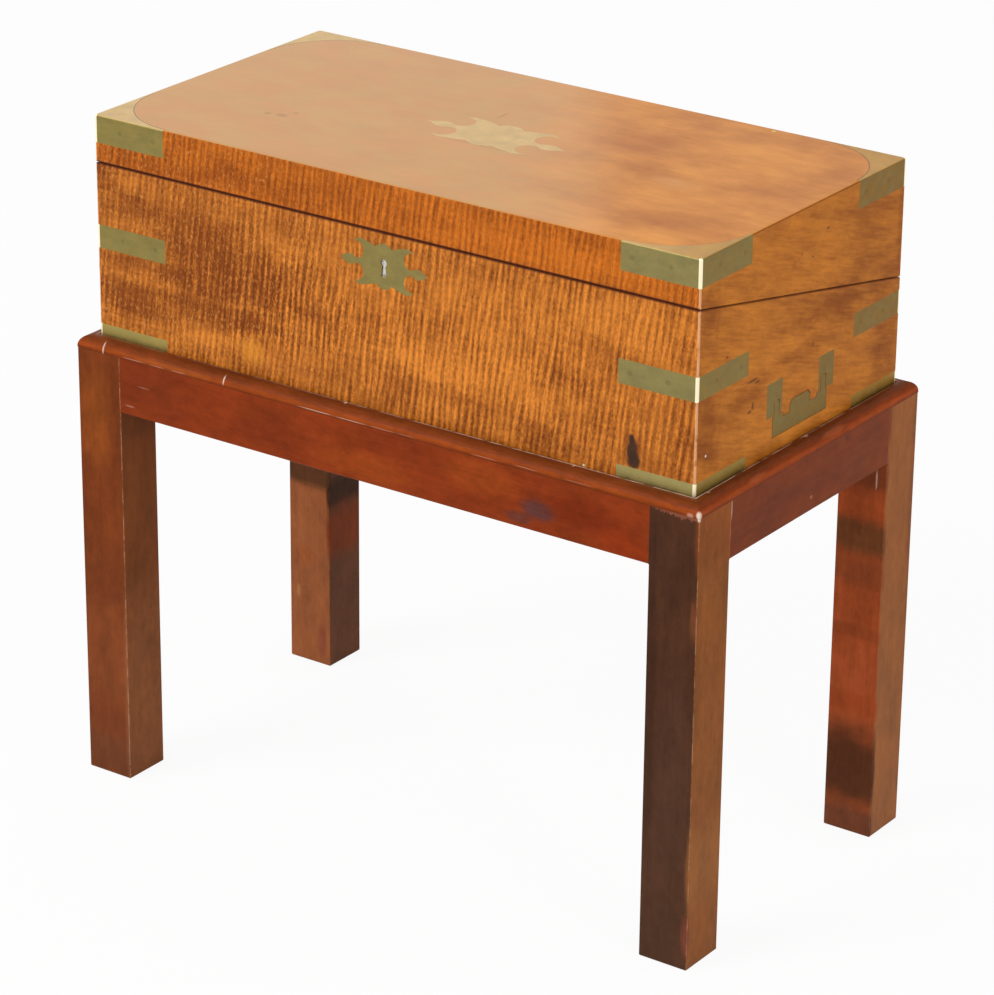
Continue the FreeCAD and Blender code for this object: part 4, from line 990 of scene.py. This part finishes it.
# The outline is a ring open at its foot, then two straight sides that spread downwards. It is carried
# from the front to the back, and each end is closed by its own face.
def keyholeCurtain(name):
    look = curtainLook
    centreX, centreZ = look["ring"]
    opening = math.asin(look["waist"] / look["ringRadius"])
    turn = np.linspace(-math.pi / 2 + opening, 1.5 * math.pi - opening, look["steps"])
    ringX = centreX + look["ringRadius"] * np.cos(turn)
    ringZ = centreZ + look["ringRadius"] * np.sin(turn)
    outlineX = np.concatenate([ringX, [centreX - look["foot"], centreX + look["foot"]]])
    outlineZ = np.concatenate([ringZ, [look["bottom"], look["bottom"]]])
    count = len(outlineX)
    front = np.stack([outlineX, np.full(count, look["front"]), outlineZ], axis=1)
    back = np.stack([outlineX, np.full(count, look["back"]), outlineZ], axis=1)
    here = np.arange(count)
    after = np.roll(here, -1)
    sides = np.stack([here, here + count, after + count, after], axis=1).tolist()
    faces = [here.tolist(), (here[::-1] + count).tolist()] + sides
    mesh = bpy.data.meshes.new(name)
    mesh.from_pydata((np.concatenate([front, back]) / mmPerMetre).tolist(), [], faces)
    piece = bpy.data.objects.new(name, mesh)
    bpy.context.scene.collection.objects.link(piece)
    return piece


def paleSteel(name):
    look = curtainLook
    finish = Finish(name, {"Metallic": look["metallic"], "Specular IOR Level": look["specular"]})
    cloud = finish.noise(*look["cloud"])
    metal = finish.mix(finish.step(cloud, *look["cloudRange"]), look["dull"], look["pale"])
    gloss = look["roughness"] + cloud * look["glossCloud"]
    return finish.done(Base_Color=metal, Roughness=gloss, Normal=finish.bump(cloud, look["bump"]))


curtain = keyholeCurtain("keyhole_curtain")
curtain.data.materials.append(paleSteel("paleSteel"))
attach(curtain, "box")
print("keyhole curtain made")


# Floor and light: a plain white floor, even white light all round, a soft key from the front left,
# and a low soft lamp behind that gives the lid its sheen
stageLook = {
    "floorSize": 60.0,
    "floorShade": 1.0,
    "floorGlow": 0.92,
    "worldLight": 0.55,
    "aim": (0.0, 0.0, 0.32),
    "lamps": {
        "key": ((-1.9, -3.4, 3.0), 2.4, 2.0, 105.0),
        "fill": ((3.6, -1.0, 2.0), 2.0, 2.0, 32.0),
        "sheen": ((-2.336, 2.791, 1.75), 0.95, 1.6, 2.6),
    },
}


# 1 for what the camera sees, directly or mirrored in metal or through glass
def seenRays(tree):
    rays = tree.nodes.new("ShaderNodeLightPath")
    camera, glossy, through = [rays.outputs[name] for name in
                               ("Is Camera Ray", "Is Glossy Ray", "Is Transmission Ray")]
    total = camera
    for other in (glossy, through):
        joined = tree.nodes.new("ShaderNodeMath")
        joined.operation = "MAXIMUM"
        tree.links.new(total, joined.inputs[0])
        tree.links.new(other, joined.inputs[1])
        total = joined.outputs[0]
    return total


def scaledShare(tree, value, share, start):
    scaled = tree.nodes.new("ShaderNodeMath")
    scaled.operation = "MULTIPLY_ADD"
    tree.links.new(value, scaled.inputs[0])
    scaled.inputs[1].default_value = share
    scaled.inputs[2].default_value = start
    return scaled.outputs[0]


def makeFloor(look):
    half = look["floorSize"] / 2.0
    corners = np.array([(-half, -half, 0.0), (half, -half, 0.0), (half, half, 0.0), (-half, half, 0.0)])
    mesh = bpy.data.meshes.new("floor")
    mesh.from_pydata(corners.tolist(), [], [(0, 1, 2, 3)])
    floor = bpy.data.objects.new("floor", mesh)
    bpy.context.scene.collection.objects.link(floor)
    material = bpy.data.materials.new("paleFloor")
    material.use_nodes = True
    tree = material.node_tree
    tree.nodes.clear()
    matt = tree.nodes.new("ShaderNodeBsdfDiffuse")
    matt.inputs["Color"].default_value = (look["floorShade"],) * 3 + (1.0,)
    glow = tree.nodes.new("ShaderNodeEmission")
    joined = tree.nodes.new("ShaderNodeMixShader")
    output = tree.nodes.new("ShaderNodeOutputMaterial")
    tree.links.new(scaledShare(tree, seenRays(tree), look["floorGlow"], 0.0), joined.inputs[0])
    tree.links.new(matt.outputs[0], joined.inputs[1])
    tree.links.new(glow.outputs[0], joined.inputs[2])
    tree.links.new(joined.outputs[0], output.inputs[0])
    mesh.materials.append(material)


def makeWorld(look):
    world = bpy.data.worlds.new("paleStudio")
    world.use_nodes = True
    bpy.context.scene.world = world
    tree = world.node_tree
    sky = tree.nodes["Background"]
    sky.inputs["Color"].default_value = (1.0, 1.0, 1.0, 1.0)
    strength = scaledShare(tree, seenRays(tree), 1.0 - look["worldLight"], look["worldLight"])
    tree.links.new(strength, sky.inputs["Strength"])


def makeLamps(look):
    aim = Vector(look["aim"])
    for name, (place, width, height, power) in look["lamps"].items():
        data = bpy.data.lights.new(name, "AREA")
        data.shape = "RECTANGLE"
        data.size = width
        data.size_y = height
        data.energy = power
        lamp = bpy.data.objects.new(name, data)
        lamp.location = place
        lamp.rotation_euler = (aim - lamp.location).to_track_quat("-Z", "Y").to_euler()
        bpy.context.scene.collection.objects.link(lamp)


makeFloor(stageLook)
makeWorld(stageLook)
makeLamps(stageLook)
print("floor and light set")


# Camera at the photograph's viewing angle; the focal length is in pixels of a frame 994 wide
cameraLook = {
    "place": (1.608032, -2.2831215, 1.4138948),
    "yaw": 0.6123,
    "pitch": 0.3989,
    "roll": 0.0101,
    "focalPixels": 4205.1471,
    "framePixels": 994.0,
    "sensor": 36.0,
    "reach": 100.0,
}


# The view direction is the yaw and pitch as a unit vector. The camera's own right and up are square to
# it and turned by the roll.
def makeCamera(look):
    yaw, pitch, roll = look["yaw"], look["pitch"], look["roll"]
    ahead = np.array([-math.sin(yaw) * math.cos(pitch), math.cos(yaw) * math.cos(pitch), -math.sin(pitch)])
    level = np.array([math.cos(yaw), math.sin(yaw), 0.0])
    above = np.cross(level, ahead)
    right = math.cos(roll) * level + math.sin(roll) * above
    upward = -math.sin(roll) * level + math.cos(roll) * above
    matrix = np.eye(4)
    matrix[:3, :3] = np.stack([right, upward, -ahead], axis=1)
    matrix[:3, 3] = look["place"]
    data = bpy.data.cameras.new("camera")
    data.sensor_width = look["sensor"]
    data.sensor_fit = "HORIZONTAL"
    data.lens = look["focalPixels"] * look["sensor"] / look["framePixels"]
    data.clip_end = look["reach"]
    camera = bpy.data.objects.new("camera", data)
    camera.matrix_world = Matrix(matrix.tolist())
    bpy.context.scene.collection.objects.link(camera)
    bpy.context.scene.camera = camera


makeCamera(cameraLook)
bpy.context.scene.view_settings.view_transform = "Standard"
print("camera set")
